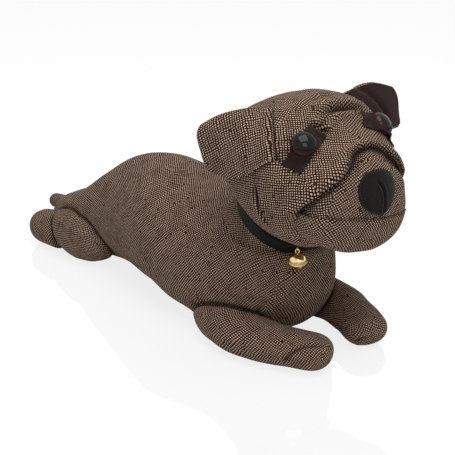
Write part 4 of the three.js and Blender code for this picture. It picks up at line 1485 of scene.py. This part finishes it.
class DOG_OT_seams(Operator):
    """Draw the cloth in where the bags are sewn together"""

    bl_idname = "dog.seams"
    bl_label = "Seams"

    def execute(self, context):
        single = ("torso_tweed", "tail_tweed")
        pairs = [
            ("muzzle_tweed", "head_tweed", 2.4, 2.6), ("chin_tweed", "head_tweed", 0.5, 1.2),
            ("head_tweed", "muzzle_tweed", 0.5, 1.3)]
        for name, other, depth, width in (
                ("leg_tweed", "torso_tweed", 1.6, 2.2), ("thigh_tweed", "torso_tweed", 0.9, 1.8),
                ("foot_tweed", "thigh_tweed", 1.2, 1.8), ("tail_tweed", "torso_tweed", 0.8, 1.2),
                ("torso_tweed", "leg_tweed", 1.4, 2.0), ("torso_tweed", "thigh_tweed", 0.8, 1.8),
                ("thigh_tweed", "foot_tweed", 1.0, 1.6)):
            for word in ("_right", "_left"):
                one, two = (kind if kind in single else kind + word for kind in (name, other))
                if (one, two, depth, width) not in pairs:
                    pairs.append((one, two, depth, width))
        pairs += [("head_tweed", "ear_tweed_right", 0.8, 1.4), ("head_tweed", "ear_suede_left", 0.8, 1.4)]
        others = {other: neighbour(other) for _, other, _, _ in pairs}
        # Each tuck also paints shade into the seam's colour.
        for name, other, depth, width in pairs:
            tuck(bpy.data.objects[name], others[other], depth, width)
        for name in ("muzzle_tweed", "chin_tweed"):
            piece = bpy.data.objects[name]
            points = read(piece)
            near = np.exp(-((above_mouth(points) / (1.1 * MM)) ** 2))
            write(piece, points - outward(piece) * near[:, None] * 0.3 * MM * (FORWARD + LEFT))
            # Painted shade along the mouth line between the muzzle and the chin.
            darken(piece, 0.4 * near)
        return {"FINISHED"}


def stitch_tree(look):
    """Stitches along a line of edges: thread humps that lie across the line at an even spacing."""
    tree = bpy.data.node_groups.new("stitches along a seam", "GeometryNodeTree")
    tree.interface.new_socket(name="Geometry", in_out="OUTPUT", socket_type="NodeSocketGeometry")
    tree.interface.new_socket(name="Geometry", in_out="INPUT", socket_type="NodeSocketGeometry")
    for name, default in (
            ("Spacing", 2.2 * MM), ("Length", 1.8 * MM), ("Thread radius", 0.22 * MM), ("Turn", 0.6)):
        socket = tree.interface.new_socket(name=name, in_out="INPUT", socket_type="NodeSocketFloat")
        socket.default_value = default
    add = partial(add_node, tree)
    given = add("NodeGroupInput")
    curve = add("GeometryNodeMeshToCurve", {}, {"Mesh": given.outputs["Geometry"]})
    spaced = add(
        "GeometryNodeResampleCurve", {"mode": "LENGTH"},
        {"Curve": curve.outputs["Curve"], "Length": given.outputs["Spacing"]})
    normal = add("GeometryNodeInputNamedAttribute", {"data_type": "FLOAT_VECTOR"}, {"Name": "way_out"})
    tangent = add("GeometryNodeInputTangent")
    upright = add("FunctionNodeAlignRotationToVector", {"axis": "Z"}, {"Vector": normal.outputs["Attribute"]})
    along = add(
        "FunctionNodeAlignRotationToVector", {"axis": "X", "pivot_axis": "Z"},
        {"Rotation": upright.outputs["Rotation"], "Vector": tangent.outputs["Tangent"]})
    jitter = add(
        "FunctionNodeRandomValue", {"data_type": "FLOAT"}, {"Min": -0.18, "Max": 0.18, "Seed": 7})
    angle = add("ShaderNodeMath", {"operation": "ADD"}, {0: given.outputs["Turn"], 1: jitter.outputs[1]})
    spin = add("ShaderNodeCombineXYZ", {}, {"Z": angle.outputs[0]})
    turn = add("FunctionNodeEulerToRotation", {}, {"Euler": spin.outputs[0]})
    placed = add(
        "FunctionNodeRotateRotation", {"rotation_space": "LOCAL"},
        {"Rotation": along.outputs["Rotation"], "Rotate By": turn.outputs["Rotation"]})

    def times(name, share):
        return add("ShaderNodeMath", {"operation": "MULTIPLY"}, {0: given.outputs[name], 1: share}).outputs[0]

    sink = times("Thread radius", -1.4)
    back, ahead = (
        add("ShaderNodeCombineXYZ", {}, {"X": times("Length", share), "Z": sink}).outputs[0]
        for share in (-0.5, 0.5))
    middle = add("ShaderNodeCombineXYZ", {}, {"Z": times("Thread radius", 1.6)}).outputs[0]
    hump = add(
        "GeometryNodeCurveQuadraticBezier", {},
        {"Resolution": 6, "Start": back, "Middle": middle, "End": ahead})
    section = add(
        "GeometryNodeCurvePrimitiveCircle", {}, {"Resolution": 6, "Radius": given.outputs["Thread radius"]})
    tube = add(
        "GeometryNodeCurveToMesh", {},
        {"Curve": hump.outputs["Curve"], "Profile Curve": section.outputs["Curve"], "Fill Caps": True})
    dots = add("GeometryNodeInstanceOnPoints", {}, {
        "Points": spaced.outputs["Curve"], "Instance": tube.outputs["Mesh"],
        "Rotation": placed.outputs["Rotation"]})
    real = add("GeometryNodeRealizeInstances", {}, {"Geometry": dots.outputs["Instances"]})
    dressed = add("GeometryNodeSetMaterial", {}, {"Geometry": real.outputs["Geometry"], "Material": look})
    add("NodeGroupOutput", {}, {"Geometry": dressed.outputs["Geometry"]})
    return tree


class DOG_OT_stitches(Operator):
    """Sew round the nose and the eye patches with small black stitches"""

    bl_idname = "dog.stitches"
    bl_label = "Stitches"

    def execute(self, context):
        tree = stitch_tree(material("thread", thread))
        nose = skin(bpy.data.objects["nose_felt"])
        self.sew("nose_stitches", tree, [(nose_outline() * 0.97, nose_place()[0], nose)], "felt")
        rounds = [
            (patch_outline(side, 0.5, 1.4), eye_frame(side), skin(bpy.data.objects[f"patch_suede_{word}"]))
            for side, word in SIDES]
        self.sew("patch_stitches", tree, rounds, "dark_cloth")
        return {"FINISHED"}

    @staticmethod
    def sew(name, tree, rounds, slot):
        trim = bpy.context.scene.dog_trim
        points, edges, ways = [], [], []
        for outline, place, surface in rounds:
            first, count = len(points), len(outline)
            for a, b in outline:
                hit, normal = place.on_skin(surface, a, b)
                points.append(tuple(hit))
                ways.append(tuple(normal))
            edges += [(first + i, first + (i + 1) % count) for i in range(count)]
        mesh = bpy.data.meshes.new(name)
        mesh.from_pydata(points, edges, [])
        way = mesh.attributes.new("way_out", "FLOAT_VECTOR", "POINT")
        way.data.foreach_set("vector", np.array(ways, np.float32).ravel())
        piece = bpy.data.objects.new(name, mesh)
        bpy.context.scene.collection.objects.link(piece)
        modifier = piece.modifiers.new("stitches", "NODES")
        modifier.node_group = tree
        for item in tree.interface.items_tree:
            if item.in_out == "INPUT" and item.name == "Spacing":
                modifier[item.identifier] = trim.stitch_spacing
        bpy.context.view_layer.update()
        apply_all(piece)
        if not piece.data.polygons:
            raise RuntimeError(f"{name} has no stitches")
        piece.data.polygons.foreach_set("use_smooth", [True] * len(piece.data.polygons))
        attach(piece, "dog")


CAMERA_TURN, CAMERA_PLACE, LAMP_AIM = (48, 20), (0.6893, -0.5747, 0.3761), (0.05, 0, 0.08)


class DOG_OT_stage(Operator):
    """Set the white mirror-like floor, the soft lamps and the camera"""

    bl_idname = "dog.stage"
    bl_label = "Stage"

    def execute(self, context):
        settings = context.scene.dog_stage
        mesh = bpy.data.meshes.new("floor")
        corners = [(-6, -6, 0), (6, -6, 0), (6, 6, 0), (-6, 6, 0)]
        mesh.from_pydata(corners, [], [(0, 1, 2, 3)])
        floor = bpy.data.objects.new("floor", mesh)
        context.scene.collection.objects.link(floor)
        look = bpy.data.materials.new("white floor")
        shader = Shader(look)
        matt = shader.node("ShaderNodeBsdfDiffuse", {}, {"Color": (0.93, 0.93, 0.93, 1)})
        glow = shader.node("ShaderNodeEmission", {}, {"Color": (1, 1, 1, 1), "Strength": 1.13})
        gloss = shader.node("ShaderNodeBsdfGlossy", {}, {"Color": (1, 1, 1, 1), "Roughness": 0.04})
        seen = shader.value(shader.node("ShaderNodeLightPath"), "Is Camera Ray")
        lit = shader.node("ShaderNodeMixShader", {}, {0: 0.8, 1: matt.outputs[0], 2: glow.outputs[0]})
        shiny = shader.node(
            "ShaderNodeMixShader", {}, {0: settings.mirror, 1: lit.outputs[0], 2: gloss.outputs[0]})
        whole = shader.node("ShaderNodeMixShader", {}, {0: seen, 1: matt.outputs[0], 2: shiny.outputs[0]})
        shader.node("ShaderNodeOutputMaterial", {}, {"Surface": whole.outputs[0]})
        mesh.materials.append(look)
        self.world(context, settings)
        self.lamps(context, settings)
        self.camera(context, settings)
        context.scene.view_settings.view_transform = "Standard"
        return {"FINISHED"}

    @staticmethod
    def world(context, settings):
        world = bpy.data.worlds.new("surroundings")
        context.scene.world = world
        world.use_nodes = True
        shader = Shader(world)
        paths = shader.node("ShaderNodeLightPath")
        white = shader.value(paths, "Is Camera Ray")
        for ray in ("Is Glossy Ray", "Is Transmission Ray"):
            white = white.maths("MAXIMUM", shader.value(paths, ray))
        strength = white * (1.0 - settings.sky) + settings.sky
        back = shader.node("ShaderNodeBackground", {}, {"Color": (1, 1, 1, 1), "Strength": strength})
        shader.node("ShaderNodeOutputWorld", {}, {"Surface": back.outputs[0]})

    @staticmethod
    def lamps(context, settings):
        for name, place, size, power in (
            ("top lamp", (0.32, -0.1, 1.3), 0.9, settings.key),
            ("front lamp", (1.1, -0.5, 1.0), 0.55, settings.fill)):
            lamp = bpy.data.lights.new(name, "AREA")
            lamp.shape, lamp.size, lamp.energy = "SQUARE", size, power
            holder = bpy.data.objects.new(name, lamp)
            holder.location = place
            way = Vector(LAMP_AIM) - Vector(place)
            holder.rotation_euler = way.to_track_quat("-Z", "Y").to_euler()
            context.scene.collection.objects.link(holder)

    @staticmethod
    def camera(context, settings):
        azimuth, elevation = (math.radians(degrees) for degrees in CAMERA_TURN)
        right = Vector((math.cos(azimuth), math.sin(azimuth), 0))
        level = math.cos(elevation)
        back = Vector((math.sin(azimuth) * level, -math.cos(azimuth) * level, math.sin(elevation)))
        up = back.cross(right)
        data = bpy.data.cameras.new("camera")
        data.lens, data.sensor_width = settings.lens, 36.0
        data.clip_start, data.clip_end = 0.02, 50
        camera = bpy.data.objects.new("camera", data)
        context.scene.collection.objects.link(camera)
        turn = Matrix((right, up, back)).transposed().to_4x4()
        camera.matrix_world = Matrix.Translation(CAMERA_PLACE) @ turn
        context.scene.camera = camera


PIECES = (
    DOG_OT_insides, DOG_OT_torso, DOG_OT_head, DOG_OT_snout, DOG_OT_nose, DOG_OT_eyes, DOG_OT_ears,
    DOG_OT_front_legs, DOG_OT_hind_legs, DOG_OT_tail, DOG_OT_collar, DOG_OT_bell, DOG_OT_seams,
    DOG_OT_stitches, DOG_OT_stage)


class DOG_PT_panel(Panel):
    bl_idname = "DOG_PT_panel"
    bl_label = "Door stop"
    bl_space_type = "VIEW_3D"
    bl_region_type = "UI"
    bl_category = "Door stop"

    def draw(self, context):
        for piece in PIECES:
            self.layout.operator(piece.bl_idname)
        for group in SETTINGS:
            settings = getattr(context.scene, group)
            box = self.layout.box()
            for name in settings.bl_rna.properties.keys():
                if name not in ("rna_type", "name"):
                    box.prop(settings, name)


SETTINGS = {
    "dog_tweed": TweedSettings, "dog_stuffing": StuffingSettings, "dog_trim": TrimSettings,
    "dog_stage": StageSettings}


def register():
    for kind in (*SETTINGS.values(), *PIECES, DOG_PT_panel):
        bpy.utils.register_class(kind)
    for name, kind in SETTINGS.items():
        setattr(bpy.types.Scene, name, PointerProperty(type=kind))


def unregister():
    for name in SETTINGS:
        delattr(bpy.types.Scene, name)
    for kind in (DOG_PT_panel, *reversed(PIECES), *SETTINGS.values()):
        bpy.utils.unregister_class(kind)


def main():
    register()
    for piece in PIECES:
        name = piece.bl_idname.split(".")[1]
        getattr(bpy.ops.dog, name)()


if __name__ == "__main__":
    main()
